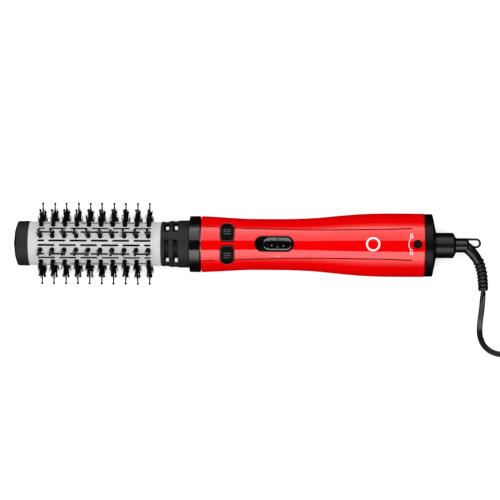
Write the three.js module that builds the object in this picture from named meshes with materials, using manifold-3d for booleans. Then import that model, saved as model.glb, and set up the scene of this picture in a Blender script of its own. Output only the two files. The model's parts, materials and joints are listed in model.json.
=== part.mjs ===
// A rotating hot-air styling brush, lying on a table with its cord put away in a coil beside it.
//
// The brush is modelled along its own axis: +X from its cool tip to its cord, +Z through its controls,
// x = 0 at the tip. It is then tilted a little, so that it rests on its bristles and on the back of its
// handle, and its origin is moved to the bottom centre of its bounding box, without the cord. The
// cord's route is given in that final frame. All sizes are in millimetres.

import * as THREE from "three";
import { mergeVertices } from "three/addons/utils/BufferGeometryUtils.js";
import Module from "manifold-3d";

const wasm = await Module();
wasm.setup();

// ---------------------------------------------------------------- driving dimensions

const GAP = 0.3; // between pieces that touch or slide on each other
const HALF_GAP = GAP / 2;
const SIDES = 32; // facets round the housing
const FINE = 20; // facets round inner pieces
const COARSE = 12; // facets round shafts and screws

// Ends of the outer pieces along the axis, from the tip.
const CAP_END = 13.3;
const BARREL_END = 125.5;
const COLLAR_END = 149.6;
const RING_END = 159;
const HOUSING_END = 347.8;
const COVER_RIM_END = 355.1;
const COVER_END = 358.3;
const HUB_END = 375.1;
const LOOP_END = 397.2;

const CAP_R = 19.1;
const BARREL_R = 18.6;
const BARREL_WALL = 1.2;
const BARREL_FACETS = 30; // one facet under each row of holes
const COLLAR_R = 20.1;
const RING_R = 23.9;
const SHAFT_R = 1.7;
const COVER_R = 26.6;
const HUB_R = 10.8;
const STUB_R = 6;

const ROWS = 10;
const ROW_ANGLE = (2 * Math.PI) / ROWS;
const TUFTS = 10;
const TUFT_PITCH = 10.15;
const FIRST_TUFT = 23.9;
const TIP_R = 35; // radius that the pins of the tufts reach

const WALL = 2;
// Radius of the housing at stations along it: a flared front, a waist for the hand, a full back.
const HOUSING_OUTLINE = new THREE.SplineCurve([
  new THREE.Vector2(RING_END + HALF_GAP, 23.9),
  new THREE.Vector2(171, 23.4),
  new THREE.Vector2(198, 21.9),
  new THREE.Vector2(236, 21.9),
  new THREE.Vector2(256, 22.8),
  new THREE.Vector2(278, 24.9),
  new THREE.Vector2(294, 26.2),
  new THREE.Vector2(310, 26.9),
  new THREE.Vector2(HOUSING_END, 26.9),
]);
const BACK_R = 26.9;

const BUTTON_X = 181.6;
const BUTTON_ANGLE = THREE.MathUtils.degToRad(27);
const BUTTON_HALF_LENGTH = 6.1;
const BUTTON_NEAR = -9.2; // across the button, from its own axis to its flat edge
const BUTTON_PROUD = 0.7;
const BUTTON_BOTTOM = 19.6; // heights of the button's skirt and ceiling above the axis
const BUTTON_CEILING = 20.8;
const BUTTON_TRAVEL = 1.2;

const BEZEL_X = 221.6;
const BEZEL_LENGTH = 33.4;
const BEZEL_WIDTH = 13.6;
const BEZEL_RIM = 1;
const SLIDER_X = 224.4;
const SLIDER_LENGTH = 24.6;
const SLIDER_WIDTH = 10.8;

const KNOB_X = 341.7;
const KNOB_R = 3.6;

const HEATER_START = 166;
const HEATER_END = 211;
const HEATER_R = 12.2;
const DUCT_R = 12;

const GEARBOX_X = 214;
const GEAR_MODULE = 0.5;
const WHEEL_TEETH = 30;
const PINION_TEETH = 10;
const GEAR_CENTRES = (GEAR_MODULE * (WHEEL_TEETH + PINION_TEETH)) / 2;

const LOOP_WIRE_R = 1;
const LOOP_BEND_R = 3.3;
const LOOP_Y = 2.2;
const LOOP_Z = -7.3;

// The cord lies on the table in the final frame, and is wound into a coil with the plug beside it.
const CORD_R = 1.5;
const COIL = { x: 264, y: -59.5, inner: 20.6, outer: 36.4, bottom: 0.9, top: 12.6 };
const PLUG = { x: 297.6, rear: -20, front: 16, width: 26, height: 12.4 };

// ---------------------------------------------------------------- shape helpers

const UNIT_X = new THREE.Vector3(1, 0, 0);
const UNIT_Y = new THREE.Vector3(0, 1, 0);
const UNIT_Z = new THREE.Vector3(0, 0, 1);
const LATHE_TO_X = new THREE.Matrix4().makeBasis(UNIT_Y, UNIT_X, UNIT_Z.clone().negate());
const EXTRUDE_TO_X = new THREE.Matrix4().makeBasis(UNIT_Y, UNIT_Z, UNIT_X);

// A closed geometry as a solid that can be cut and joined.
function solid(geometry) {
  const bare = new THREE.BufferGeometry();
  bare.setAttribute("position", geometry.getAttribute("position").clone());
  bare.setIndex(geometry.index);
  const merged = mergeVertices(bare, 1e-3);
  const vertProperties = new Float32Array(merged.attributes.position.array);
  const corners = Array.from(merged.index ? merged.index.array : vertProperties.keys());
  const triVerts = [];
  for (let i = 0; i < corners.length; i += 3) {
    const [a, b, c] = corners.slice(i, i + 3);
    if (a !== b && b !== c && c !== a) triVerts.push(a, b, c);
  }
  if (signedVolume(vertProperties, triVerts) < 0) triVerts.reverse();
  return new wasm.Manifold(
    new wasm.Mesh({ numProp: 3, vertProperties, triVerts: new Uint32Array(triVerts) }),
  );
}

function signedVolume(positions, index) {
  const corner = (i) => new THREE.Vector3().fromArray(positions, 3 * index[i]);
  let six = 0;
  for (let i = 0; i < index.length; i += 3) {
    six += corner(i).dot(corner(i + 1).cross(corner(i + 2)));
  }
  return six / 6;
}

// A body turned about the X axis from [x, radius] points. A facet lies at its bottom, unless the
// phase says otherwise.
function turned(profile, sides = FINE, phase = Math.PI / sides) {
  const points = profile.map(([x, r]) => new THREE.Vector2(r, x));
  const geometry = new THREE.LatheGeometry(points, sides, phase, 2 * Math.PI);
  return solid(geometry.applyMatrix4(LATHE_TO_X));
}

function rod(x0, x1, r, sides = FINE) {
  return turned([[x0, 0], [x0, r], [x1, r], [x1, 0]], sides);
}

function pipe(x0, x1, inner, outer, sides = FINE, phase = Math.PI / sides) {
  return turned([[x0, inner], [x0, outer], [x1, outer], [x1, inner], [x0, inner]], sides, phase);
}

function box([x0, y0, z0], [x1, y1, z1]) {
  const geometry = new THREE.BoxGeometry(x1 - x0, y1 - y0, z1 - z0);
  return solid(geometry.translate((x0 + x1) / 2, (y0 + y1) / 2, (z0 + z1) / 2));
}

// An upright cylinder.
function post(x, y, z0, z1, r, sides = COARSE) {
  const geometry = new THREE.CylinderGeometry(r, r, z1 - z0, sides).rotateX(Math.PI / 2);
  return solid(geometry.translate(x, y, (z0 + z1) / 2));
}

// A plan outline raised from z0 to z1.
function raised(shape, z0, z1) {
  const settings = { depth: z1 - z0, bevelEnabled: false, curveSegments: 8 };
  return solid(new THREE.ExtrudeGeometry(shape, settings).translate(0, 0, z0));
}

function stadium(length, width) {
  const half = (length - width) / 2;
  const shape = new THREE.Shape();
  shape.absarc(half, 0, width / 2, -Math.PI / 2, Math.PI / 2);
  shape.absarc(-half, 0, width / 2, Math.PI / 2, (3 * Math.PI) / 2);
  return shape;
}

// A round tube along a curve.
function tube(curve, r, steps, sides = 8) {
  const section = new THREE.Shape(
    Array.from({ length: sides }, (_, i) => {
      const turn = (2 * Math.PI * i) / sides;
      return new THREE.Vector2(r * Math.cos(turn), r * Math.sin(turn));
    }),
  );
  return solid(new THREE.ExtrudeGeometry(section, { steps, extrudePath: curve }));
}

function curveThrough(points) {
  return new THREE.CatmullRomCurve3(points.map((p) => new THREE.Vector3(...p)), false, "centripetal");
}

function moved(shape, x, y, z) {
  return shape.translate([x, y, z]);
}

function aboutAxis(shape, angle) {
  return shape.transform(new THREE.Matrix4().makeRotationX(angle).elements);
}

// The same piece at equal angles of a full turn about the axis, joined.
function ringOf(shape, count, start = 0) {
  const copies = Array.from({ length: count }, (_, i) => {
    return aboutAxis(shape, start + (2 * Math.PI * i) / count);
  });
  return join(copies);
}

function join(shapes) {
  return shapes.reduce((all, one) => all.add(one));
}

const tool = new THREE.Group(); // the brush, along its own axis
const part = new THREE.Group(); // the frame that the part is delivered in
part.add(tool);

function place(group, name, shape, material) {
  const { vertProperties, triVerts } = shape.getMesh();
  const geometry = new THREE.BufferGeometry();
  geometry.setAttribute("position", new THREE.BufferAttribute(vertProperties, 3));
  geometry.setIndex(new THREE.BufferAttribute(triVerts, 1));
  const mesh = new THREE.Mesh(geometry, material);
  mesh.name = name;
  group.add(mesh);
}

// ---------------------------------------------------------------- materials

function finish(color, roughness, metalness = 0) {
  return new THREE.MeshStandardMaterial({ color, roughness, metalness });
}

const RED_GLOSS = finish(0xd90012, 0.12);
const BLACK_GLOSS = finish(0x0c0c0d, 0.15);
const BLACK_SATIN = finish(0x1b1b1c, 0.45);
const CERAMIC = finish(0xd2d2d0, 0.4);
const BRISTLE = finish(0x0a0a0a, 0.6);
const STEEL = finish(0xb8babd, 0.3, 1);
const NICHROME = finish(0x8d8478, 0.4, 1);
const WHITE_PLASTIC = finish(0xe9e6dd, 0.4);
const MICA = finish(0xb8a27a, 0.7);
const BOARD_GREEN = finish(0x1f5a36, 0.5);
const CORD_BLACK = finish(0x141414, 0.55);

// ---------------------------------------------------------------- turning head

const CAP_FLOOR = 4.6; // inner face of the end cap's front wall
const SPIGOT_R = BARREL_R - BARREL_WALL - GAP;

function endCapDisc() {
  return turned([[0, 0], [0, 4.9], [0.5, 5.4], [1.9, 5.4], [1.9, 0]]);
}

function endCap() {
  const outside = [
    [0.9, 5.7], [1.8, 14], [4.6, CAP_R], [CAP_END, CAP_R], [CAP_END, SPIGOT_R], [17, SPIGOT_R],
  ];
  const inside = [[17, 15], [CAP_FLOOR, 15], [CAP_FLOOR, 4.4], [11, 4.4], [11, 2], [2.2, 2], [2.2, 5.7]];
  return turned([...outside, ...inside, outside[0]], SIDES);
}

// Screw that holds the end cap to the shaft: its head fills the hub's bore under the disc.
function tipScrew() {
  return rod(2.3, 4.6, SHAFT_R, COARSE);
}

// Tube with a round hole for each tuft, and a facet under each row of holes.
function barrelSleeve() {
  const start = CAP_END + HALF_GAP;
  const inner = BARREL_R - BARREL_WALL;
  const sleeve = pipe(start, BARREL_END - HALF_GAP, inner, BARREL_R, BARREL_FACETS, 0);
  const hole = join(tuftPlaces().map((x) => post(x, 0, 15, 21, 1.8, 4)));
  return sleeve.subtract(ringOf(hole, ROWS, ROW_ANGLE / 2));
}

function tuftPlaces() {
  return Array.from({ length: TUFTS }, (_, i) => FIRST_TUFT + i * TUFT_PITCH);
}

// One row of tufts on the rail that carries them inside the barrel.
function bristleStrip(index) {
  const rail = box([18.6, -2, 14.7], [118.6, 2, 16.8]);
  const outline = [[0, 16], [1, 16], [2, 26], [0.5, TIP_R], [0, TIP_R]];
  const tuft = new THREE.LatheGeometry(outline.map((p) => new THREE.Vector2(...p)), 4).rotateX(Math.PI / 2);
  const tufts = tuftPlaces().map((x) => solid(tuft.clone().translate(x, 0, 0)));
  return aboutAxis(join([rail, ...tufts]), -(index + 0.5) * ROW_ANGLE);
}

// Vented neck between the barrel and the handle: two rows of four wide windows.
function collar() {
  const outside = [
    [121, SPIGOT_R], [BARREL_END + HALF_GAP, SPIGOT_R], [BARREL_END + HALF_GAP, 18.8], [134, 19.6],
    [141, COLLAR_R], [156, COLLAR_R],
  ];
  const inside = [[156, 17.9], [141, 17.9], [134, 17.6], [121, 15.4]];
  const windowAngle = THREE.MathUtils.degToRad(70);
  const firstWindow = THREE.MathUtils.degToRad(25);
  let body = turned([...outside, ...inside, outside[0]], SIDES);
  for (const x of [128.4, 135.9]) {
    const sector = new THREE.Shape();
    sector.moveTo(0, 0);
    sector.lineTo(24 * Math.cos(windowAngle / 2), -24 * Math.sin(windowAngle / 2));
    sector.absarc(0, 0, 24, -windowAngle / 2, windowAngle / 2, false);
    const settings = { depth: 4.1, bevelEnabled: false, curveSegments: 3 };
    const wedge = solid(new THREE.ExtrudeGeometry(sector, settings).applyMatrix4(EXTRUDE_TO_X));
    body = body.subtract(ringOf(moved(wedge, x, 0, 0), 4, firstWindow));
  }
  return body;
}

function driveShaft() {
  return rod(4.9, GEARBOX_X + 7.2, SHAFT_R, COARSE);
}

// ---------------------------------------------------------------- gear train

// A spur gear with straight-flanked teeth and running backlash.
function gear(x0, x1, teeth, firstTooth = 0) {
  const pitchR = (GEAR_MODULE * teeth) / 2;
  const rootR = pitchR - 1.2 * GEAR_MODULE;
  const tipR = pitchR + 0.9 * GEAR_MODULE;
  const pitch = (2 * Math.PI) / teeth;
  const rootHalf = 0.3 * pitch;
  const tipHalf = 0.09 * pitch;
  const points = [];
  for (let i = 0; i < teeth; i++) {
    const centre = firstTooth + i * pitch;
    for (const [r, turn] of [[rootR, -rootHalf], [tipR, -tipHalf], [tipR, tipHalf], [rootR, rootHalf]]) {
      points.push(new THREE.Vector2(r * Math.cos(centre + turn), r * Math.sin(centre + turn)));
    }
  }
  const settings = { depth: x1 - x0, bevelEnabled: false };
  const geometry = new THREE.ExtrudeGeometry(new THREE.Shape(points), settings);
  return solid(geometry.applyMatrix4(EXTRUDE_TO_X).translate(x0, 0, 0));
}

// The layshaft lies straight below the axis, so a wheel's tooth there meets a pinion's space.
const TOWARDS_LAYSHAFT = -Math.PI / 2;
const HALF_PINION_TOOTH = Math.PI / PINION_TEETH;

function onLayshaft(shape) {
  return moved(shape, 0, 0, -GEAR_CENTRES);
}

function outputGear() {
  const wheel = gear(GEARBOX_X + 4, GEARBOX_X + 7, WHEEL_TEETH, TOWARDS_LAYSHAFT);
  return wheel.subtract(rod(GEARBOX_X, GEARBOX_X + 12, SHAFT_R + GAP, COARSE));
}

function layshaftGear() {
  const wheel = gear(GEARBOX_X + 8, GEARBOX_X + 11, WHEEL_TEETH, -TOWARDS_LAYSHAFT);
  const pinionStart = -TOWARDS_LAYSHAFT + HALF_PINION_TOOTH;
  const pinion = gear(GEARBOX_X + 3.6, GEARBOX_X + 8.1, PINION_TEETH, pinionStart);
  return onLayshaft(wheel.add(pinion).subtract(rod(GEARBOX_X, GEARBOX_X + 14, 1.2, COARSE)));
}

// The motor's pinion with the motor's own shaft.
function motorPinion() {
  const teeth = gear(GEARBOX_X + 7.8, GEARBOX_X + 11.2, PINION_TEETH, TOWARDS_LAYSHAFT + HALF_PINION_TOOTH);
  return teeth.add(rod(GEARBOX_X + 11, GEARBOX_X + 18, 1, COARSE));
}

function gearboxOutline(x0, x1, r) {
  return rod(x0, x1, r).add(onLayshaft(rod(x0, x1, r)));
}

// Open case with the fixed pin that the layshaft's gear turns on.
function gearboxCase() {
  return gearboxOutline(GEARBOX_X, GEARBOX_X + 12.4, 9.3)
    .subtract(gearboxOutline(GEARBOX_X + 1.5, GEARBOX_X + 13, 8.4))
    .subtract(rod(GEARBOX_X - 1, GEARBOX_X + 2, SHAFT_R + GAP, COARSE))
    .add(onLayshaft(rod(GEARBOX_X + 1, GEARBOX_X + 12.3, 0.9, COARSE)));
}

function gearboxCover() {
  return gearboxOutline(GEARBOX_X + 12.7, GEARBOX_X + 14.2, 9.3)
    .subtract(rod(GEARBOX_X + 12, GEARBOX_X + 15, 2.4, COARSE));
}

function driveMotor() {
  return rod(GEARBOX_X + 14.5, GEARBOX_X + 35, 8).subtract(
    rod(GEARBOX_X + 14, GEARBOX_X + 19, 1 + GAP, COARSE),
  );
}

// ---------------------------------------------------------------- housing

// The housing's solid of revolution, grown or shrunk by an offset, and lengthened at both ends.
function housingBody(offset, ends = 0) {
  const stations = 7;
  const profile = Array.from({ length: stations + 1 }, (_, i) => {
    const { x, y } = HOUSING_OUTLINE.getPoint(i / stations);
    return [x, y + offset];
  });
  profile[0][0] -= ends;
  profile[stations][0] += ends;
  return turned([[profile[0][0], 0], ...profile, [profile[stations][0], 0]], SIDES);
}

// Plan of a direction button: flat towards the centre line, round away from it.
function buttonPlan(grow) {
  const r = BUTTON_HALF_LENGTH + grow;
  const roundFrom = 2.9;
  const shape = new THREE.Shape();
  shape.moveTo(r - 0.9, BUTTON_NEAR - grow);
  shape.lineTo(r, BUTTON_NEAR + 1.5);
  shape.lineTo(r, roundFrom);
  shape.absarc(0, roundFrom, r, 0, Math.PI, false);
  shape.lineTo(-r, BUTTON_NEAR + 1.5);
  shape.lineTo(0.9 - r, BUTTON_NEAR - grow);
  return shape;
}

// The button's prism stands along the housing's radius at its own angle; side is 1 or -1 in Y.
function buttonPrism(side, grow, r0, r1) {
  const outward = new THREE.Vector3(0, side * Math.sin(BUTTON_ANGLE), Math.cos(BUTTON_ANGLE));
  const away = new THREE.Vector3(0, side * Math.cos(BUTTON_ANGLE), -Math.sin(BUTTON_ANGLE));
  const settings = { depth: r1 - r0, bevelEnabled: false, curveSegments: 8 };
  const geometry = new THREE.ExtrudeGeometry(buttonPlan(grow), settings);
  geometry.translate(0, 0, r0);
  geometry.applyMatrix4(new THREE.Matrix4().makeBasis(UNIT_X, away, outward));
  return solid(geometry.translate(BUTTON_X, 0, 0));
}

function oval(x, length, width, z0, z1) {
  return moved(raised(stadium(length, width), z0, z1), x, 0, 0);
}

function controlCuts() {
  return join([
    buttonPrism(1, 0.4, 12, 30),
    buttonPrism(-1, 0.4, 12, 30),
    oval(BEZEL_X, BEZEL_LENGTH, BEZEL_WIDTH, 15, 30),
    post(KNOB_X, 0, 15, 35, KNOB_R + 0.4, 20),
  ]);
}

// The three screws that hold the shells together, clear of the heater, the motors and the gears.
const SCREWS = [
  { x: 202.5, y: 16.4 },
  { x: 202.5, y: -16.4 },
  { x: 268, y: 0 },
];

function posts(z0, z1, r) {
  return join(SCREWS.map(({ x, y }) => post(x, y, z0, z1, r)));
}

function housingShell() {
  return housingBody(0).subtract(housingBody(-WALL, 1));
}

function upperShell() {
  return housingShell()
    .add(posts(HALF_GAP, 24, 2.9).intersect(housingBody(-1)))
    .intersect(box([150, -40, HALF_GAP], [360, 40, 40]))
    .subtract(controlCuts())
    .subtract(posts(-1, 9.5, 1.3));
}

function lowerShell() {
  return housingShell()
    .add(posts(-26, -HALF_GAP, 3.4).intersect(housingBody(-1)))
    .intersect(box([150, -40, -40], [360, 40, -HALF_GAP]))
    .subtract(posts(-40, -8, 2.6))
    .subtract(posts(-10, 1, 1.4));
}

function housingScrew({ x, y }) {
  return post(x, y, -10.4, -8 - GAP, 2.2).add(post(x, y, -9, 9, 1, 8));
}

function frontRing() {
  const bore = COLLAR_R + 0.5;
  const web = 157;
  const end = RING_END - HALF_GAP;
  return turned(
    [
      [COLLAR_END + HALF_GAP, bore], [COLLAR_END + HALF_GAP, RING_R - 0.5], [COLLAR_END + 0.7, RING_R],
      [end, RING_R], [end, DUCT_R + GAP], [web, DUCT_R + GAP], [web, bore], [COLLAR_END + HALF_GAP, bore],
    ],
    SIDES,
  );
}

// Plain bearing that the collar turns on.
function collarBush() {
  return pipe(150, 156.4, DUCT_R + GAP, 17.5);
}

function airDuct() {
  return pipe(149.9, 165.4, DUCT_R - 1, DUCT_R);
}

// ---------------------------------------------------------------- controls

function directionButton(side) {
  return buttonPrism(side, 0, BUTTON_BOTTOM, 30)
    .intersect(housingBody(BUTTON_PROUD))
    .subtract(buttonPrism(side, -1.2, 12, BUTTON_CEILING));
}

function microswitch(side) {
  const body = box([BUTTON_X - 3, -3, 15.6], [BUTTON_X + 3, 3, 17.6]);
  const plunger = post(BUTTON_X, 0, 17.4, BUTTON_CEILING - BUTTON_TRAVEL - GAP, 1.4, 8);
  return aboutAxis(body.add(plunger), -side * BUTTON_ANGLE);
}

// Arched bracket that carries the two microswitches over the heater.
function switchBridge() {
  return pipe(175, 188, 13.9, 15.3).intersect(box([170, -13, 5], [190, 13, 20]));
}

function switchBezel() {
  const outer = oval(BEZEL_X, BEZEL_LENGTH - 2 * GAP, BEZEL_WIDTH - 2 * GAP, 18.2, 30);
  const inner = oval(BEZEL_X, BEZEL_LENGTH - 2 * BEZEL_RIM, BEZEL_WIDTH - 2 * BEZEL_RIM, 19.2, 31);
  const slit = box([BEZEL_X - 9, -1.6, 15], [BEZEL_X + 11, 1.6, 30]);
  return outer.intersect(housingBody(0.5)).subtract(inner).subtract(slit);
}

// Low oval button with three raised dots, and a stem that reaches the switch below.
function slideButton() {
  const pad = oval(SLIDER_X, SLIDER_LENGTH, SLIDER_WIDTH, 19.6, 30).intersect(housingBody(0.7));
  const dots = [-6, 0, 6].map((dx) => post(SLIDER_X + dx, 0, 22, 22.95, 0.9, 8));
  const stem = box([SLIDER_X - 1.5, -1.1, 18], [SLIDER_X + 1.5, 1.1, 20]);
  return join([pad, stem, ...dots]);
}

function slideSwitchBody() {
  return box([214.5, -4, 14.2], [230, 4, 17.6]);
}

function controlBoard() {
  return box([213, -10.5, 12.4], [258, 10.5, 13.9]);
}

function lockKnob() {
  const top = 27.8;
  const slot = box([KNOB_X - 5, -0.5, top - 0.8], [KNOB_X + 5, 0.5, top + 1]);
  const head = post(KNOB_X, 0, 23.6, top, KNOB_R, 20).subtract(slot);
  return head.add(post(KNOB_X, 0, 19, 24, 1.5));
}

// ---------------------------------------------------------------- heater

function heaterTube() {
  return pipe(HEATER_START, HEATER_END, HEATER_R, HEATER_R + 0.9);
}

function heaterCross() {
  const fin = box([HEATER_START + 1, -0.5, 2.4], [HEATER_END - 1, 0.5, 9]);
  return pipe(HEATER_START + 1, HEATER_END - 1, SHAFT_R + GAP, 3, COARSE).add(ringOf(fin, 4));
}

// Resistance wire wound over the fins.
function heatingCoil() {
  const turns = 4;
  const steps = turns * 10;
  const points = Array.from({ length: steps + 1 }, (_, i) => {
    const turn = (2 * Math.PI * i * turns) / steps;
    return [HEATER_START + 4 + (37 * i) / steps, 10.3 * Math.cos(turn), 10.3 * Math.sin(turn)];
  });
  return tube(curveThrough(points), 0.5, steps, 4);
}

function thermostat() {
  return box([HEATER_START + 12, 2.6, 2.6], [HEATER_START + 24, 5.6, 5.6]);
}

// ---------------------------------------------------------------- fan

function fanMotor() {
  return rod(282, 305, 11.5).subtract(rod(300, 306, 1.2 + GAP, COARSE));
}

function fanFrame() {
  const sleeve = pipe(288, 297, 11.5 + GAP, 12.9);
  const strut = box([289, -1, 12.4], [296, 1, 23.4]);
  return sleeve.add(ringOf(strut, 4, Math.PI / 4));
}

function fanImpeller() {
  const pitch = THREE.MathUtils.degToRad(38);
  const blade = new THREE.BoxGeometry(12, 1.1, 12.6).rotateZ(pitch).translate(318, 0, 13.8);
  const hub = turned([[301.5, 0], [301.5, 1.2], [311, 1.2], [311, 6.6], [313, 7.9], [325, 7.9], [325, 0]]);
  return hub.add(ringOf(solid(blade), 7));
}

// ---------------------------------------------------------------- back end

// Spoked plate that carries the cord's swivel hub.
function swivelBracket() {
  const rim = pipe(332.2, 336, 23.7, 24.6);
  const centre = pipe(332.2, 336, 7.3, 10.4);
  const spoke = box([332.2, -1.2, 9.8], [336, 1.2, 24]);
  return join([rim, centre, ringOf(spoke, 4, Math.PI / 4)]);
}

function inletFilter() {
  const disc = pipe(350.3, 351.3, HUB_R + 1.2, 23.4);
  return disc.subtract(ringOf(moved(rod(349, 353, 3.4, 6), 0, 0, 17.6), 10));
}

function rearCover() {
  const bore = HUB_R + 0.5;
  const start = HOUSING_END + HALF_GAP;
  const outside = [[start, COVER_R], [COVER_RIM_END, COVER_R], [COVER_END, bore + 0.6], [COVER_END, bore]];
  const inside = [[356.8, bore], [353.6, 24.2], [346.2, 24.2], [346.2, 24.6], [start, 24.6]];
  const slot = box([350, -0.8, 14.4], [360, 0.8, 22.6]);
  return turned([...outside, ...inside, outside[0]], SIDES).subtract(ringOf(slot, 12));
}

// Hub that carries the cord: a flange and neck inside the bracket, and a barrel behind the cover.
function swivelHub() {
  return turned([
    [328, 3.6], [328, 9.6], [331.9, 9.6], [331.9, 7], [336.6, 7], [338.4, HUB_R], [372.6, HUB_R],
    [HUB_END, 9.4], [HUB_END, STUB_R + GAP], [366, STUB_R + GAP], [366, 3.6], [328, 3.6],
  ]);
}

// Moulded relief: a straight root and a sleeve that bends towards the table.
const RELIEF_ROUTE = curveThrough([
  [379.5, 0.2, 0], [383.6, -1.3, 0], [388, -4.8, -0.3], [394.4, -13.4, -1.5], [397.4, -22.5, -3],
  [398.5, -30.2, -4.8], [399, -37.6, -7],
]);

function strainRelief() {
  const root = rod(366.4, 383.2, STUB_R, 16);
  return root.add(tube(RELIEF_ROUTE, 4, 14));
}

// Wire loop under the relief, with both ends against the hub.
function hangingLoop() {
  const bendX = LOOP_END - LOOP_BEND_R - LOOP_WIRE_R;
  const path = new THREE.CurvePath();
  const points = [[HUB_END + GAP, LOOP_BEND_R]];
  for (let i = 0; i <= 8; i++) {
    const turn = Math.PI / 2 - (Math.PI * i) / 8;
    points.push([bendX + LOOP_BEND_R * Math.cos(turn), LOOP_BEND_R * Math.sin(turn)]);
  }
  points.push([HUB_END + GAP, -LOOP_BEND_R]);
  const corners = points.map(([x, y]) => new THREE.Vector3(x, LOOP_Y + y, LOOP_Z));
  for (let i = 1; i < corners.length; i++) {
    path.add(new THREE.LineCurve3(corners[i - 1], corners[i]));
  }
  return tube(path, LOOP_WIRE_R, 30, 6);
}

// Insulated lead from the swivel's contacts past the fan to the control board.
function supplyLead() {
  const route = curveThrough([
    [331.7, 12.9, 2.3], [329.3, 16.8, 3], [327, 20.4, 3.6], [322.5, 21.9, 3.9], [306, 21.9, 3.9],
    [292, 21.4, 4.2], [280, 19.4, 5], [268, 13.6, 9], [258.6, 7, 12.9],
  ]);
  return tube(route, 1, 24, 6);
}

// ---------------------------------------------------------------- assembly of the brush

place(tool, "end_cap_disc", endCapDisc(), BLACK_SATIN);
place(tool, "end_cap", endCap(), BLACK_SATIN);
place(tool, "tip_screw", tipScrew(), STEEL);
place(tool, "barrel_sleeve", barrelSleeve(), CERAMIC);
for (let i = 0; i < ROWS; i++) {
  place(tool, `bristle_strip_${String(i + 1).padStart(2, "0")}`, bristleStrip(i), BRISTLE);
}
place(tool, "collar", collar(), BLACK_SATIN);
place(tool, "drive_shaft", driveShaft(), STEEL);
place(tool, "output_gear", outputGear(), WHITE_PLASTIC);
place(tool, "layshaft_gear", layshaftGear(), WHITE_PLASTIC);
place(tool, "motor_pinion", motorPinion(), STEEL);
place(tool, "gearbox_case", gearboxCase(), BLACK_SATIN);
place(tool, "gearbox_cover", gearboxCover(), BLACK_SATIN);
place(tool, "drive_motor", driveMotor(), STEEL);
place(tool, "upper_shell", upperShell(), RED_GLOSS);
place(tool, "lower_shell", lowerShell(), RED_GLOSS);
SCREWS.forEach((screw, i) => place(tool, `housing_screw_${i + 1}`, housingScrew(screw), STEEL));
place(tool, "front_ring", frontRing(), BLACK_GLOSS);
place(tool, "collar_bush", collarBush(), WHITE_PLASTIC);
place(tool, "air_duct", airDuct(), STEEL);
place(tool, "left_button", directionButton(-1), BLACK_GLOSS);
place(tool, "right_button", directionButton(1), BLACK_GLOSS);
place(tool, "left_microswitch", microswitch(-1), BLACK_SATIN);
place(tool, "right_microswitch", microswitch(1), BLACK_SATIN);
place(tool, "switch_bridge", switchBridge(), BLACK_SATIN);
place(tool, "switch_bezel", switchBezel(), BLACK_GLOSS);
place(tool, "slide_button", slideButton(), BLACK_GLOSS);
place(tool, "slide_switch_body", slideSwitchBody(), BLACK_SATIN);
place(tool, "control_board", controlBoard(), BOARD_GREEN);
place(tool, "lock_knob", lockKnob(), BLACK_SATIN);
place(tool, "heater_tube", heaterTube(), MICA);
place(tool, "heater_cross", heaterCross(), MICA);
place(tool, "heating_coil", heatingCoil(), NICHROME);
place(tool, "thermostat", thermostat(), STEEL);
place(tool, "fan_motor", fanMotor(), STEEL);
place(tool, "fan_frame", fanFrame(), BLACK_SATIN);
place(tool, "fan_impeller", fanImpeller(), WHITE_PLASTIC);
place(tool, "swivel_bracket", swivelBracket(), BLACK_SATIN);
place(tool, "inlet_filter", inletFilter(), STEEL);
place(tool, "rear_cover", rearCover(), BLACK_SATIN);
place(tool, "swivel_hub", swivelHub(), BLACK_SATIN);
place(tool, "strain_relief", strainRelief(), CORD_BLACK);
place(tool, "hanging_loop", hangingLoop(), CORD_BLACK);
place(tool, "supply_lead", supplyLead(), CORD_BLACK);

// ---------------------------------------------------------------- resting on the table

// The lowest rows of pins stand half a row off the bottom, the last of them touches first, and the
// back of the housing rests on a facet.
const LAST_TUFT = FIRST_TUFT + (TUFTS - 1) * TUFT_PITCH;
const REST_PIN_R = TIP_R * Math.cos(ROW_ANGLE / 2);
const REST_BACK_R = BACK_R * Math.cos(Math.PI / SIDES);
const TILT = Math.atan((REST_PIN_R - REST_BACK_R) / (HOUSING_END - LAST_TUFT));

tool.rotation.y = TILT;
tool.updateMatrixWorld(true);
const bounds = new THREE.Box3();
for (const mesh of tool.children) {
  if (mesh.name !== "strain_relief") bounds.expandByObject(mesh, true);
}
tool.position.set(-(bounds.min.x + bounds.max.x) / 2, -(bounds.min.y + bounds.max.y) / 2, -bounds.min.z);
tool.updateMatrixWorld(true);

// ---------------------------------------------------------------- cord, in the final frame

// It falls from the relief, runs along the table and meets the coil along a tangent.
const CORD_ROUTE = [
  [200.4, -38.2, 18.3], [200.1, -45.6, 14.7], [199.6, -54, 9.9], [198.8, -62, 5.2], [198.2, -70, 2.2],
  [198.9, -78, 1.55], [202.5, -85.6, 1.55], [209.6, -90.8, 1.55], [218.6, -92.8, 1.55], [228, -93.2, 1.55],
  [237, -93.2, 1.55], [245.4, -93.2, 1.55],
];
// It leaves the coil's top layer along another tangent, down to the plug.
const TAIL_ROUTE = [[PLUG.x, -40.9, 9.7], [PLUG.x, -34, 8.6], [PLUG.x, -27, 6.9], [PLUG.x, -20.3, 6.3]];

// The outside of nine turns of the cord.
function cordCoil() {
  const { inner, outer, bottom, top } = COIL;
  const section = [[inner, bottom], [outer, bottom], [outer, top], [inner, top], [inner, bottom]];
  const ring = new THREE.LatheGeometry(section.map((p) => new THREE.Vector2(...p)), SIDES);
  return moved(solid(ring.rotateX(Math.PI / 2)), COIL.x, COIL.y, 0);
}

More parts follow.
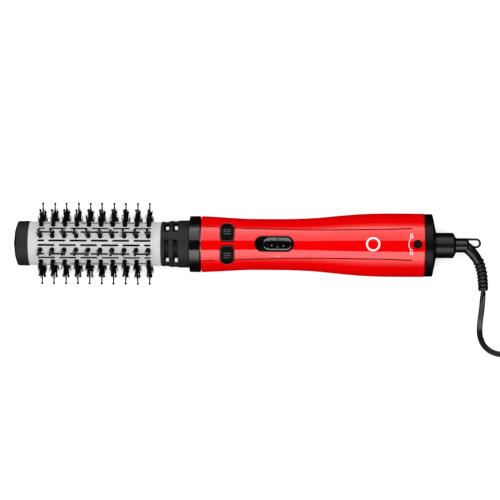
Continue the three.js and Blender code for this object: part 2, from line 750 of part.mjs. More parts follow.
// Strap round the coil's turns on the side away from the cord.
function coilTie() {
  const inside = [COIL.y + COIL.inner - 0.8, COIL.y + COIL.outer + GAP];
  const halfWidth = 4.5;
  const strap = 0.5;
  const outerBox = box(
    [COIL.x - halfWidth, inside[0] - strap, COIL.bottom - GAP - strap],
    [COIL.x + halfWidth, inside[1] + strap, COIL.top + GAP + strap],
  );
  const innerBox = box(
    [COIL.x - halfWidth - 1, inside[0], COIL.bottom - GAP],
    [COIL.x + halfWidth + 1, inside[1], COIL.top + GAP],
  );
  return outerBox.subtract(innerBox);
}

// Flat moulded plug with two round pins.
function plug() {
  const { x, rear, front, width, height } = PLUG;
  const outline = new THREE.Shape();
  outline.moveTo(-4, rear);
  outline.lineTo(4, rear);
  outline.quadraticCurveTo(5, rear + 14, width / 2, front - 10);
  outline.lineTo(width / 2, front);
  outline.lineTo(-width / 2, front);
  outline.lineTo(-width / 2, front - 10);
  outline.quadraticCurveTo(-5, rear + 14, -4, rear);
  const pin = new THREE.CylinderGeometry(2, 2, 20, 10).translate(0, front + 9, 0);
  const pins = [-9.5, 9.5].map((dx) => solid(pin.clone().translate(dx, 0, height / 2)));
  return moved(join([raised(outline, 0.05, height), ...pins]), x, 0, 0);
}

place(part, "cord", tube(curveThrough(CORD_ROUTE), CORD_R, 28), CORD_BLACK);
place(part, "cord_coil", cordCoil(), CORD_BLACK);
place(part, "coil_tie", coilTie(), CORD_BLACK);
place(part, "cord_tail", tube(curveThrough(TAIL_ROUTE), CORD_R, 6), CORD_BLACK);
place(part, "plug", plug(), CORD_BLACK);

export default part;
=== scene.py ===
"""The looks of a rotating hot-air styling brush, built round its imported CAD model.

Shapes are written in millimetres, either in the tool frame (x from the cool tip along the brush's own
axis, z through its controls) or in the row frame, and are turned into metres as each mesh is made.
"""

import json
import math
import random

import bmesh
import bpy
import numpy as np
from mathutils import Matrix, Vector
from mathutils.geometry import delaunay_2d_cdt
from mathutils.kdtree import KDTree


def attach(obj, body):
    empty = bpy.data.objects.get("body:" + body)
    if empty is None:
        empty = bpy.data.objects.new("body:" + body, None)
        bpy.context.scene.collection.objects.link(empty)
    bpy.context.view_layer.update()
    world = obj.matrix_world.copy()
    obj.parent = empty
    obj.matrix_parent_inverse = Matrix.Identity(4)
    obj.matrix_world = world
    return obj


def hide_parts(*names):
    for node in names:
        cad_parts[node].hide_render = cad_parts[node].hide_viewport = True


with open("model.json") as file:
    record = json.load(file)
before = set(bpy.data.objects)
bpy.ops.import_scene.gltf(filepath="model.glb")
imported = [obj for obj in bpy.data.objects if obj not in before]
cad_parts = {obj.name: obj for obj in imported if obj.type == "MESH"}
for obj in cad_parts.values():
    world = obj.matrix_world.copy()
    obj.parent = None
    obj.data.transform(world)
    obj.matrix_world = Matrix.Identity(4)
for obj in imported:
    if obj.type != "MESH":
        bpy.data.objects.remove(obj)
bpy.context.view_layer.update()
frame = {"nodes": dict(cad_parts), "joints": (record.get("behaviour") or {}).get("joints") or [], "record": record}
joints = {joint["name"]: joint for joint in frame["joints"]}

# ---------------------------------------------------------------- driving dimensions, in millimetres

MM = 0.001
HEAD_PIVOT_X = 140.0  # where the head's joint is stated, from the tip

CAP_END = 13.3
BARREL_END = 125.5
RING_END = 159.7
HOUSING_END = 347.8
COVER_RIM_END = 355.1
COVER_END = 358.3
HUB_START = 338.4
HUB_END = 375.1
LOOP_END = 397.2

CAP_R = 19.1
BARREL_R = 18.6
RING_R = 23.9
COVER_R = 26.6
HUB_R = 10.8
STUB_R = 6.0

ROWS = 10
ROW_ANGLE = 2 * math.pi / ROWS
TUFTS = 10
TUFT_PITCH = 10.15
FIRST_TUFT = 23.9
TIP_R = 35.0

HOUSING_OUTLINE = [
    (159.1, 23.9), (171, 23.4), (184, 22.6), (198, 21.9), (217, 21.75), (236, 21.9), (256, 22.8),
    (278, 24.9), (294, 26.2), (310, 26.85), (330, 26.95), (347.8, 26.9),
]
WALL = 2.0
# Distance from the centre line of the fine crease on each side of the top, in plan.
CREASE_OUTLINE = [(160.5, 14.7), (190, 13.3), (225, 12.3), (243, 12.0), (260, 11.9), (313, 12.6), (340, 13.4)]
CREASE_HALF_WIDTH = 0.42
CREASE_DEPTH = 0.35
CREASE_RUNS = [(160.6, 174.2), (189.4, 340)]  # in x, on either side of the buttons

BUTTON_X = 182.0
BUTTON_ANGLE = math.radians(27)
BUTTON_HALF_LENGTH = 5.8
BUTTON_NEAR = -8.7
BUTTON_PROUD = 0.7
BEZEL_X = 221.6
BEZEL_LENGTH = 33.4
BEZEL_WIDTH = 13.6
SLIDER_X = 224.4
SLIDER_LENGTH = 24.6
SLIDER_WIDTH = 10.8
KNOB_X = 341.7
KNOB_R = 3.6

LOOP_WIRE_R = 1.0
LOOP_BEND_R = 3.3
LOOP_Y = 2.2
LOOP_Z = -7.3

CORD_WIDTH = 5.0
CORD_THICKNESS = 2.6
COIL_CENTRE = Vector((264.0, -59.5, 0))
COIL_INNER_R = 23.3
COIL_OUTER_R = 33.7
COIL_TURNS = 9.25
COIL_SWEEPS = 4
LAYER_RISE = 2.8
COIL_FLOOR = 1.55
PLUG_X = 297.6
PLUG_REAR = -20.0
PLUG_FRONT = 16.0
PLUG_WIDTH = 26.0
PLUG_HEIGHT = 12.4

# The relief's route in the tool frame; the cord's and the tail's in the row frame.
RELIEF_ROUTE = [
    (379.5, 0.2, 0), (383.6, -1.3, 0), (388, -4.8, -0.3), (394.4, -13.4, -1.5), (397.4, -22.5, -3),
    (398.5, -30.2, -4.8), (399, -37.6, -7),
]
CORD_ROUTE = [
    (200.4, -38.2, 18.3), (200.1, -45.6, 14.7), (199.6, -54, 9.9), (198.8, -62, 5.2), (198.2, -70, 2.2),
    (198.9, -78, 1.55), (202.5, -85.6, 1.55), (209.6, -90.8, 1.55), (218.6, -92.8, 1.55), (228, -93.2, 1.55),
    (237, -93.2, 1.55), (245.4, -93.2, 1.55),
]
TAIL_ROUTE = [(PLUG_X, -40.9, 9.7), (PLUG_X, -34, 8.6), (PLUG_X, -27, 6.9), (PLUG_X, -20.3, 6.3)]

# ---------------------------------------------------------------- frames

axis = Vector(joints["head_spin"]["axis"]).normalized()
across = Vector((0, 1, 0))
upward = axis.cross(across)
tip = Vector(joints["head_spin"]["pos_m"]) - axis * HEAD_PIVOT_X * MM
TOOL = Matrix.Translation(tip) @ Matrix((axis, across, upward)).transposed().to_4x4() @ Matrix.Scale(MM, 4)
ROW = Matrix.Scale(MM, 4)

# ---------------------------------------------------------------- curves


def smooth_function(points):
    """A smooth curve y(x) through points with growing x."""
    xs = [p[0] for p in points]
    ys = [p[1] for p in points]
    last = len(points) - 1
    slopes = []
    for i in range(len(points)):
        a, b = max(i - 1, 0), min(i + 1, last)
        slopes.append((ys[b] - ys[a]) / (xs[b] - xs[a]))

    def value(x):
        x = min(max(x, xs[0]), xs[-1])
        i = min(max(next((k for k in range(last) if x <= xs[k + 1]), last - 1), 0), last - 1)
        h = xs[i + 1] - xs[i]
        u = (x - xs[i]) / h
        start, end = ys[i], ys[i + 1]
        bend_in, bend_out = slopes[i] * h, slopes[i + 1] * h
        return (
            (2 * u**3 - 3 * u**2 + 1) * start + (u**3 - 2 * u**2 + u) * bend_in
            + (3 * u**2 - 2 * u**3) * end + (u**3 - u**2) * bend_out
        )

    return value


housing_r = smooth_function(HOUSING_OUTLINE)
crease_y = smooth_function(CREASE_OUTLINE)


def smooth_path(points, per_span=8):
    """A centripetal Catmull-Rom curve through the points, as a list of vectors."""
    pts = [Vector(p) for p in points]
    pts = [2 * pts[0] - pts[1]] + pts + [2 * pts[-1] - pts[-2]]
    path = []
    for i in range(1, len(pts) - 2):
        p0, p1, p2, p3 = pts[i - 1 : i + 3]
        t0 = 0.0
        t1 = t0 + (p1 - p0).length ** 0.5
        t2 = t1 + (p2 - p1).length ** 0.5
        t3 = t2 + (p3 - p2).length ** 0.5
        for k in range(per_span):
            t = t1 + (t2 - t1) * k / per_span
            a1 = p0.lerp(p1, (t - t0) / (t1 - t0))
            a2 = p1.lerp(p2, (t - t1) / (t2 - t1))
            a3 = p2.lerp(p3, (t - t2) / (t3 - t2))
            b1 = a1.lerp(a2, (t - t0) / (t2 - t0))
            b2 = a2.lerp(a3, (t - t1) / (t3 - t1))
            path.append(b1.lerp(b2, (t - t1) / (t2 - t1)))
    path.append(pts[-2].copy())
    return path


def rounded(points, radius, steps=4, closed=False):
    """A 2D polyline with its corners rounded by up to the radius given."""
    pts = [Vector(p) for p in points]
    n = len(pts)
    out = []
    for i, p in enumerate(pts):
        if not closed and i in (0, n - 1):
            out.append(tuple(p))
            continue
        before, after = pts[i - 1], pts[(i + 1) % n]
        a, b = before - p, after - p
        cut = min(radius, a.length * 0.45, b.length * 0.45)
        start, end = p + a.normalized() * cut, p + b.normalized() * cut
        for k in range(steps + 1):
            u = k / steps
            out.append(tuple(start * (1 - u) ** 2 + p * 2 * u * (1 - u) + end * u**2))
    return out


def circle(cx, cy, r, n=24):
    turns = [2 * math.pi * i / n for i in range(n)]
    return [(cx + r * math.cos(a), cy + r * math.sin(a)) for a in turns]


def arc(cx, cy, r, start, end, steps=14):
    turns = [math.radians(start + (end - start) * i / steps) for i in range(steps + 1)]
    return [(cx + r * math.cos(a), cy + r * math.sin(a)) for a in turns]


def stadium(cx, cy, length, width, n=8):
    """An oval with straight sides, long in x."""
    half = (length - width) / 2
    r = width / 2
    points = []
    for side, start in ((1, -90), (-1, 90)):
        for i in range(n + 1):
            turn = math.radians(start + 180 * i / n)
            points.append((cx + side * half + r * math.cos(turn), cy + r * math.sin(turn)))
    return points


def resampled(points, spacing):
    """A closed outline with points added so that none of its edges is longer than the spacing."""
    out = []
    for i, p in enumerate(points):
        q = points[(i + 1) % len(points)]
        pieces = max(1, math.ceil(math.dist(p, q) / spacing))
        out += [(p[0] + (q[0] - p[0]) * k / pieces, p[1] + (q[1] - p[1]) * k / pieces) for k in range(pieces)]
    return out


def offset(points, distance):
    """A closed outline moved outwards by a distance, or inwards by a negative one."""
    n = len(points)
    area = 0.0
    for (x, y), (next_x, next_y) in zip(points, points[1:] + points[:1]):
        area += x * next_y - next_x * y
    sign = 1 if area > 0 else -1
    out = []
    for i in range(n):
        before, here, after = Vector(points[i - 1]), Vector(points[i]), Vector(points[(i + 1) % n])
        along = ((here - before).normalized() + (after - here).normalized()).normalized()
        out.append((here.x + sign * along.y * distance, here.y - sign * along.x * distance))
    return out


def panel(s0, s1, t0, t1, along, around):
    """A rectangle's outline, with that many even steps on each of its sides."""
    points = [(s0 + (s1 - s0) * i / along, t0) for i in range(along)]
    points += [(s1, t0 + (t1 - t0) * i / around) for i in range(around)]
    points += [(s1 + (s0 - s1) * i / along, t1) for i in range(along)]
    points += [(s0, t1 + (t0 - t1) * i / around) for i in range(around)]
    return points


# ---------------------------------------------------------------- shapes: (vertices, faces)


def moved(shape, place):
    """A shape with each of its points put where place(point) says."""
    return [place(v) for v in shape[0]], shape[1]


def round_point(x, r, turn):
    """A point at a radius from the tool's axis and at an angle from the top, towards +Y."""
    return Vector((x, r * math.sin(turn), r * math.cos(turn)))


def bands(rings, sides, closed=False):
    """The faces between neighbouring rings of points."""
    faces = []
    for i in range(rings if closed else rings - 1):
        a, b = i * sides, (i + 1) % rings * sides
        for k in range(sides):
            n = (k + 1) % sides
            faces.append([a + k, a + n, b + n, b + k])
    return faces


def merged(*shapes):
    verts, faces = [], []
    for shape_verts, shape_faces in shapes:
        start = len(verts)
        verts += shape_verts
        faces += [[start + i for i in face] for face in shape_faces]
    return verts, faces


def turned_about_x(shape, angle):
    turn = Matrix.Rotation(angle, 4, "X")
    return moved(shape, lambda v: turn @ Vector(v))


def repeated_about_x(shape, count, start=0.0):
    return merged(*(turned_about_x(shape, start + 2 * math.pi * i / count) for i in range(count)))


def lathe(profile, sides=96, closed=False):
    """A body turned about X from (x, radius) points."""
    verts = [round_point(x, r, 2 * math.pi * k / sides) for x, r in profile for k in range(sides)]
    return verts, bands(len(profile), sides, closed)


def swept(path, section, up, caps=True, size=None, roll=None):
    """A section of (across, along up) points carried along a path, kept upright against up."""
    count = len(section)
    verts = []
    for i, p in enumerate(path):
        ahead, behind = path[min(i + 1, len(path) - 1)], path[max(i - 1, 0)]
        along = (ahead - behind).normalized()
        side = along.cross(up).normalized()
        top = side.cross(along)
        share = i / (len(path) - 1)
        scale = size(share) if size else 1.0
        turn = roll(share) if roll else 0.0
        for u, v in section:
            a = u * math.cos(turn) - v * math.sin(turn)
            b = u * math.sin(turn) + v * math.cos(turn)
            verts.append(p + side * a * scale + top * b * scale)
    faces = bands(len(path), count)
    if caps:
        faces.append(list(range(count))[::-1])
        faces.append([(len(path) - 1) * count + k for k in range(count)])
    return verts, faces


def ball(centre, r, rings, sides):
    turns = [math.pi * i / rings for i in range(rings + 1)]
    shape = lathe([(-r * math.cos(a), r * math.sin(a)) for a in turns], sides)
    return moved(shape, lambda v: v + Vector(centre))


def inside(points, polygon):
    """Which of an array of points lie in a polygon."""
    x, y = points[:, 0], points[:, 1]
    hit = np.zeros(len(points), bool)
    for (x0, y0), (x1, y1) in zip(polygon, polygon[1:] + polygon[:1]):
        crosses = (y0 > y) != (y1 > y)
        if y0 != y1:
            hit ^= crosses & (x < (x1 - x0) * (y - y0) / (y1 - y0) + x0)
    return hit


def wall(outline, holes, surface, thickness, spacing, lip, lines=(), edge_depth=0.0, seams=()):
    """A curved wall from a flat pattern of (s, t) points, with holes whose edges are broken by a lip.

    surface(s, t, depth) gives the point of the wall under that pattern point. lines are open
    polylines of (points, depth) pressed into it. edge_depth presses the outline in. A depth is a
    number or a function of the point. seams are the values of t where the pattern meets its own
    copy, so that no side wall is made there.
    """
    points, edges, depths = [], [], []

    def add(loop, depth, closed=True):
        start = len(points)
        points.extend(Vector(p) for p in loop)
        depths.extend(depth(p) if callable(depth) else depth for p in loop)
        last = len(points) - 1
        edges.extend((i, i + 1) for i in range(start, last))
        if closed:
            edges.append((last, start))

    add(outline, edge_depth)
    rims = [offset(hole, lip) for hole in holes]
    for hole, rim in zip(holes, rims):
        add(hole, lip)
        add(rim, 0.0)
    for line, depth in lines:
        add(line, depth, closed=False)

    tree = KDTree(len(points))
    for i, p in enumerate(points):
        tree.insert((p.x, p.y, 0), i)
    tree.balance()
    s0, s1 = min(p[0] for p in outline), max(p[0] for p in outline)
    t0, t1 = min(p[1] for p in outline), max(p[1] for p in outline)
    ds, dt = spacing
    grid = []
    columns = max(2, round((s1 - s0) / ds))
    rows = max(2, round((t1 - t0) / dt))
    for i in range(1, columns):
        for k in range(1, rows):
            s = s0 + (s1 - s0) * i / columns
            t = t0 + (t1 - t0) * k / rows
            if tree.find((s, t, 0))[2] > 0.4 * min(ds, dt):
                grid.append((s, t))
    if grid:
        array = np.array(grid)
        keep = inside(array, outline)
        for rim in rims:
            keep &= ~inside(array, rim)
        points.extend(Vector(p) for p, kept in zip(grid, keep) if kept)
        depths.extend([0.0] * int(keep.sum()))

    flat, _, triangles, sources, _, _ = delaunay_2d_cdt(points, edges, [], 0, 1e-5)
    centres = np.array([[sum(flat[i].x for i in f) / 3, sum(flat[i].y for i in f) / 3] for f in triangles])
    keep = inside(centres, outline)
    for hole in holes:
        keep &= ~inside(centres, hole)
    kept = [f for f, good in zip(triangles, keep) if good]

    outer, inner = [], []
    for p, source in zip(flat, sources):
        depth = depths[source[0]] if source else 0.0
        outer.append(surface(p.x, p.y, depth))
        inner.append(surface(p.x, p.y, thickness))
    count = len(flat)
    faces = [list(f) for f in kept] + [[count + i for i in reversed(f)] for f in kept]
    sides = {}
    for f in kept:
        for a, b in ((f[0], f[1]), (f[1], f[2]), (f[2], f[0])):
            sides[(a, b)] = sides.get((a, b), 0) + 1
    for a, b in sides:
        on_seam = any(abs(flat[a].y - t) < 1e-4 and abs(flat[b].y - t) < 1e-4 for t in seams)
        if (b, a) not in sides and not on_seam:
            faces.append([b, a, count + a, count + b])
    return outer + inner, faces


def cushion(outline, place, levels):
    """A low solid over an outline: levels are (inset, lift) rings from its skirt up to its top."""
    rings = [[place(u, v, lift) for u, v in offset(outline, -inset)] for inset, lift in levels]
    inset, lift = levels[-1]
    top = offset(outline, -inset)
    cx = sum(p[0] for p in top) / len(top)
    cy = sum(p[1] for p in top) / len(top)
    for share in (0.75, 0.5, 0.25):
        ring = [(cx + (u - cx) * share, cy + (v - cy) * share) for u, v in top]
        rings.append([place(u, v, lift) for u, v in ring])
    n = len(outline)
    verts = [v for ring in rings for v in ring] + [place(cx, cy, lift)]
    faces = bands(len(rings), n)
    middle = len(verts) - 1
    faces += [[middle - n + k, middle - n + (k + 1) % n, middle] for k in range(n)]
    faces.append(list(range(n))[::-1])
    return verts, faces


# ---------------------------------------------------------------- pieces


def piece(name, shape, body, material, matrix=TOOL, sharp=35.0, replaces=(), bore=None):
    """A mesh object in the row frame that rides on a body, in the finish of a slot.

    bore is a second material for the faces that don't look away from the tool's axis; the barrel's is a near-black
    painted shade.
    """
    mesh = bpy.data.meshes.new(name)
    bm = bmesh.new()
    verts = [bm.verts.new(matrix @ Vector(v)) for v in shape[0]]
    for face in shape[1]:
        try:
            bm.faces.new([verts[i] for i in face])
        except ValueError:
            continue
    bmesh.ops.remove_doubles(bm, verts=bm.verts, dist=2e-6)
    bmesh.ops.recalc_face_normals(bm, faces=bm.faces)
    bm.to_mesh(mesh)
    bm.free()
    mesh.shade_smooth()
    mesh.set_sharp_from_angle(angle=math.radians(sharp))
    mesh.materials.append(material)
    if bore:
        mesh.materials.append(bore)
        for polygon in mesh.polygons:
            from_tip = polygon.center - tip
            outwards = (from_tip - axis * from_tip.dot(axis)).normalized()
            if polygon.normal.dot(outwards) < 0.4:
                polygon.material_index = 1
    obj = bpy.data.objects.new(name, mesh)
    bpy.context.scene.collection.objects.link(obj)
    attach(obj, body)
    if replaces:
        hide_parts(*replaces)
    return obj


# ---------------------------------------------------------------- camera

CAMERA_DISTANCE = 1870.0  # from the brush's axis
LEAN_TO_CORD = math.radians(3.26)  # from straight overhead
LEAN_TO_FRONT = math.radians(1.5)
CAMERA_ROLL = math.radians(0.36)
FIELD = 425.0  # width of the view at the axis
AXIS_HEIGHT = 31.0
VIEW_CENTRE = (2.3, -4.75)
SENSOR = 36.0

camera_data = bpy.data.cameras.new("camera")
camera_data.sensor_width = SENSOR
camera_data.lens = SENSOR * CAMERA_DISTANCE / FIELD
camera = bpy.data.objects.new("camera", camera_data)
aim = Vector((*VIEW_CENTRE, AXIS_HEIGHT))
backward = Vector((math.tan(LEAN_TO_CORD), -math.tan(LEAN_TO_FRONT), 1)).normalized()
rightward = Vector((-math.sin(CAMERA_ROLL), math.cos(CAMERA_ROLL), 0)).cross(backward).normalized()
camera.location = (aim + CAMERA_DISTANCE * backward) * MM
camera.rotation_euler = Matrix((rightward, backward.cross(rightward), backward)).transposed().to_euler()
bpy.context.scene.collection.objects.link(camera)
bpy.context.scene.camera = camera

# ---------------------------------------------------------------- materials


def material(
    name, color, roughness, metallic=0.0, coat=0.0, coat_ior=1.5, blur=0.03, sheen=0.0, specular=0.5
):
    """A principled material; its grain and bump are added by grain()."""
    mat = bpy.data.materials.new(name)
    mat.use_nodes = True
    shader = mat.node_tree.nodes["Principled BSDF"]
    shader.inputs["Base Color"].default_value = (*color, 1)
    shader.inputs["Roughness"].default_value = roughness
    shader.inputs["Metallic"].default_value = metallic
    shader.inputs["Coat Weight"].default_value = coat
    shader.inputs["Coat IOR"].default_value = coat_ior
    shader.inputs["Coat Roughness"].default_value = blur
    shader.inputs["Sheen Weight"].default_value = sheen
    shader.inputs["Specular IOR Level"].default_value = specular
    return mat


def grain(mat, scale, shade=0.06, rough=0.08, bump=0.0, stretch=(1, 1, 1), distance=0.0001):
    """Colour, roughness and height that vary by a noise of that scale, in object space."""
    tree = mat.node_tree
    shader = tree.nodes["Principled BSDF"]
    coords = tree.nodes.new("ShaderNodeTexCoord")
    mapping = tree.nodes.new("ShaderNodeMapping")
    mapping.inputs["Scale"].default_value = stretch
    noise = tree.nodes.new("ShaderNodeTexNoise")
    noise.inputs["Scale"].default_value = scale
    noise.inputs["Detail"].default_value = 4.0
    tree.links.new(coords.outputs["Object"], mapping.inputs["Vector"])
    tree.links.new(mapping.outputs["Vector"], noise.inputs["Vector"])
    base = tuple(shader.inputs["Base Color"].default_value)[:3]
    ramp = tree.nodes.new("ShaderNodeValToRGB")
    ramp.color_ramp.elements[0].position = 0.3
    ramp.color_ramp.elements[1].position = 0.7
    ramp.color_ramp.elements[0].color = (*(c * (1 - shade) for c in base), 1)
    ramp.color_ramp.elements[1].color = (*(min(1.0, c * (1 + shade)) for c in base), 1)
    tree.links.new(noise.outputs["Fac"], ramp.inputs["Fac"])
    tree.links.new(ramp.outputs["Color"], shader.inputs["Base Color"])
    level = shader.inputs["Roughness"].default_value
    span = tree.nodes.new("ShaderNodeMapRange")
    span.inputs["To Min"].default_value = max(0.02, level - rough)
    span.inputs["To Max"].default_value = min(1.0, level + rough)
    tree.links.new(noise.outputs["Fac"], span.inputs["Value"])
    tree.links.new(span.outputs["Result"], shader.inputs["Roughness"])
    if bump:
        relief = tree.nodes.new("ShaderNodeBump")
        relief.inputs["Strength"].default_value = bump
        relief.inputs["Distance"].default_value = distance
        tree.links.new(noise.outputs["Fac"], relief.inputs["Height"])
        tree.links.new(relief.outputs["Normal"], shader.inputs["Normal"])
    return mat


red_gloss = grain(
    material("red_gloss", (0.8, 0.0, 0.001), 0.4, coat=1.0, coat_ior=1.8, specular=0.0), 60, 0.03, 0.04
)
black_gloss = grain(
    material("black_gloss", (0.003, 0.003, 0.0035), 0.3, coat=1.0, coat_ior=1.75, blur=0.1, specular=0.0),
    90, 0.2, 0.05,
)
button_black = grain(material("button_black", (0.0015, 0.002, 0.0015), 0.4, specular=0.06), 2600, 0.2, 0.05)
slider_gloss = grain(
    material("slider_gloss", (0.003, 0.003, 0.003), 0.3, coat=1.0, coat_ior=2.5, blur=0.06, specular=0.0),
    90, 0.2, 0.05,
)
cover_satin = grain(material("cover_satin", (0.002, 0.002, 0.002), 0.3, specular=0.2), 2600, 0.2, 0.05)
# painted shade: near-black red for the floors of the parting-line gaps, standing for the shade deep in them
gap_painted_shade = grain(material("gap_painted_shade", (0.03, 0.0, 0.0), 0.8, specular=0.0), 900, 0.2, 0.1)
black_satin = grain(
    material("black_satin", (0.003, 0.003, 0.003), 0.27, specular=0.45), 2600, 0.2, 0.05, 0.15, distance=1e-5
)
black_matte = grain(
    material("black_matte", (0.011, 0.011, 0.011), 0.55, specular=0.35), 3200, 0.25, 0.1, 0.5, distance=3e-5
)
ceramic = grain(
    material("ceramic_coat", (0.56, 0.56, 0.555), 0.42, coat=0.5, blur=0.12, sheen=0.5, specular=0.3),
    1900, 0.1, 0.08, 0.2, distance=2e-5,
)
# painted shade: near-black for the barrel's inner faces and the tube under it, so that its slots look dark
barrel_bore_painted_shade = grain(material("barrel_bore_painted_shade", (0.006, 0.006, 0.006), 0.8, specular=0.1), 900, 0.2, 0.1)
nylon = grain(material("pin_nylon", (0.0015, 0.0015, 0.0015), 0.35, specular=0.2), 700, 0.3, 0.1)
bristle = grain(material("bristle_hair", (0.0015, 0.0012, 0.0012), 0.55, specular=0.12), 900, 0.6, 0.15)
rubber = grain(material("cord_rubber", (0.0025, 0.0025, 0.0025), 0.26, specular=0.7), 1500, 0.25, 0.1, 0.3,
               distance=3e-5)
print_white = grain(material("print_white", (0.86, 0.86, 0.86), 0.4), 1200, 0.04, 0.08)
dot_grey = grain(material("dot_grey", (0.3, 0.29, 0.3), 0.35), 900, 0.1, 0.1)
# painted highlight: grey for the rims round the buttons' tops, and partly for their grip bars
grip_grey_and_painted_highlight = grain(material("grip_grey_and_painted_highlight", (0.06, 0.06, 0.063), 0.35), 900, 0.2, 0.1)
steel = grain(
    material("brushed_steel", (0.56, 0.57, 0.58), 0.3, 1.0), 400, 0.08, 0.12, 0.2, (1, 12, 12), 3e-5
)
nickel = grain(material("pin_nickel", (0.72, 0.7, 0.66), 0.2, 1.0), 500, 0.05, 0.08, 0.1, (12, 1, 12), 2e-5)
white_plastic = grain(material("white_plastic", (0.78, 0.76, 0.7), 0.4), 1500, 0.04, 0.08, 0.2, distance=2e-5)
mica = grain(material("mica_sheet", (0.42, 0.33, 0.2), 0.6), 260, 0.25, 0.15, 0.4)
nichrome = grain(material("nichrome_wire", (0.3, 0.27, 0.24), 0.4, 1.0), 900, 0.15, 0.1)
board = grain(material("board_green", (0.02, 0.14, 0.06), 0.45), 700, 0.2, 0.1)

by_slot = {
    "red_shell": red_gloss, "gloss_black": black_gloss, "satin_black": black_satin, "ceramic_coat": ceramic,
    "bristle": nylon, "white_plastic": white_plastic, "steel": steel, "mica": mica, "nichrome": nichrome,
    "board": board, "cord_black": rubber,
}
for subpart in frame["record"]["subparts"]:
    node = frame["nodes"][subpart["node"]]
    node.data.materials.clear()
    node.data.materials.append(by_slot[subpart["material_slot"]])

# ---------------------------------------------------------------- cord


def twin_section():
    """Two round cores side by side, with a shallow groove between them."""
    r = CORD_THICKNESS / 2
    reach = CORD_WIDTH / 2 - r
    return arc(reach, 0, r, -125, 125, 9) + arc(-reach, 0, r, 55, 305, 9)


def coil_path():
    """The winding: it sweeps from the outside in and back, and climbs a layer at each turning point."""
    steps = 24
    total = int(COIL_TURNS * steps)
    path = []
    for i in range(1, total + 1):
        turns = i / steps
        phase = turns / COIL_TURNS * COIL_SWEEPS
        sweep = min(int(phase), COIL_SWEEPS - 1)
        share = phase - sweep
        r = COIL_OUTER_R + (COIL_INNER_R - COIL_OUTER_R) * (share if sweep % 2 == 0 else 1 - share)
        layer = 0.0
        for k in range(1, COIL_SWEEPS):
            off = (phase - k) * COIL_TURNS / COIL_SWEEPS + 0.5
            u = min(max(off, 0.0), 1.0)
            layer += u * u * (3 - 2 * u)
        angle = -math.pi / 2 + 2 * math.pi * turns
        spot = Vector((r * math.cos(angle), r * math.sin(angle), COIL_FLOOR + LAYER_RISE * layer))
        path.append(COIL_CENTRE + spot)
    return path


lead_in = smooth_path(CORD_ROUTE + [(255, -93.2, 1.55), (264, -93.2, 1.55)], 4)
tail = smooth_path([(297.7, -55, 9.95), *TAIL_ROUTE], 4)[1:]
cord_path = lead_in + coil_path() + tail
cord = piece(
    "mains_cord",
    swept(cord_path, twin_section(), Vector((0, 0, 1)), roll=lambda share: 0.9 * max(0.0, 1 - share * 55)),
    "cord_swivel", rubber, ROW, 50, ("cord", "cord_coil", "cord_tail"),
)

# ---------------------------------------------------------------- strain relief and loop

relief_path = smooth_path(RELIEF_ROUTE, 10)
RIB_PITCH = 3.3
RIBS = 8


def length_of(path):
    return sum((b - a).length for a, b in zip(path, path[1:]))


def point_at(path, distance):
    """The point and direction at a distance along a path."""
    for a, b in zip(path, path[1:]):
        step = (b - a).length
        if distance <= step:
            return a.lerp(b, distance / step), (b - a).normalized()
        distance -= step
    return path[-1], (path[-1] - path[-2]).normalized()


def part_of(path, start, end, count):
    return [point_at(path, start + (end - start) * i / (count - 1))[0] for i in range(count)]


def ellipse(a, b, n=20):
    return [(a * math.cos(2 * math.pi * i / n), b * math.sin(2 * math.pi * i / n)) for i in range(n)]


def strain_relief():
    """A stub, a smooth bent neck, and flat ribs on a thin core, tied together along both sides."""
    up = Vector((0, 0, 1))
    length = length_of(relief_path)
    ribs_from = length - RIBS * RIB_PITCH
    stub = lathe(rounded([(366.4, 0), (366.4, STUB_R), (384.6, STUB_R), (386.6, 3.6), (386.6, 0)], 1.2), 48)
    neck = swept(
        part_of(relief_path, 0, ribs_from + 1, 24), ellipse(4.4, 4.4), up,
        size=lambda share: 1.15 - 0.2 * share,
    )
    core = swept(part_of(relief_path, ribs_from, length, 30), ellipse(1.9, 1.2), up)
    shapes = [stub, neck, core]
    for i in range(RIBS):
        start = ribs_from + 0.4 + i * RIB_PITCH
        width = 4.95 - 0.06 * i
        stations = part_of(relief_path, start, start + 2.0, 6)
        swell = [0.8, 0.95, 1.0, 1.0, 0.95, 0.8]
        shapes.append(
            swept(stations, ellipse(width, 3.5), up, size=lambda share, s=swell: s[round(share * 5)])
        )
        bridge_end = min(start + RIB_PITCH + 0.4, length)
        for side in (-1, 1):
            bridge = [(side * 3.0 + u, v) for u, v in ellipse(1.1, 2.8, 12)]
            shapes.append(swept(part_of(relief_path, start + 1.5, bridge_end, 4), bridge, up))
    collar_shape = swept(part_of(relief_path, length - 0.6, length, 3), ellipse(3.6, 2.8), up)
    return merged(*shapes, collar_shape)


relief = piece("strain_relief_moulding", strain_relief(), "cord_swivel", rubber,
               sharp=40, replaces=("strain_relief",))


def hanging_loop():
    bend_x = LOOP_END - LOOP_BEND_R - LOOP_WIRE_R
    path = [Vector((HUB_END - 2, LOOP_Y + LOOP_BEND_R, LOOP_Z))]
    for i in range(17):
        turn = math.pi / 2 - math.pi * i / 16
        back, aside = LOOP_BEND_R * math.cos(turn), LOOP_BEND_R * math.sin(turn)
        path.append(Vector((bend_x + back, LOOP_Y + aside, LOOP_Z)))
    path.append(Vector((HUB_END - 2, LOOP_Y - LOOP_BEND_R, LOOP_Z)))
    return swept(path, ellipse(LOOP_WIRE_R, LOOP_WIRE_R, 12), Vector((0, 0, 1)))


piece("hanging_loop_wire", hanging_loop(), "cord_swivel", rubber, replaces=("hanging_loop",))

# ---------------------------------------------------------------- plug and tie


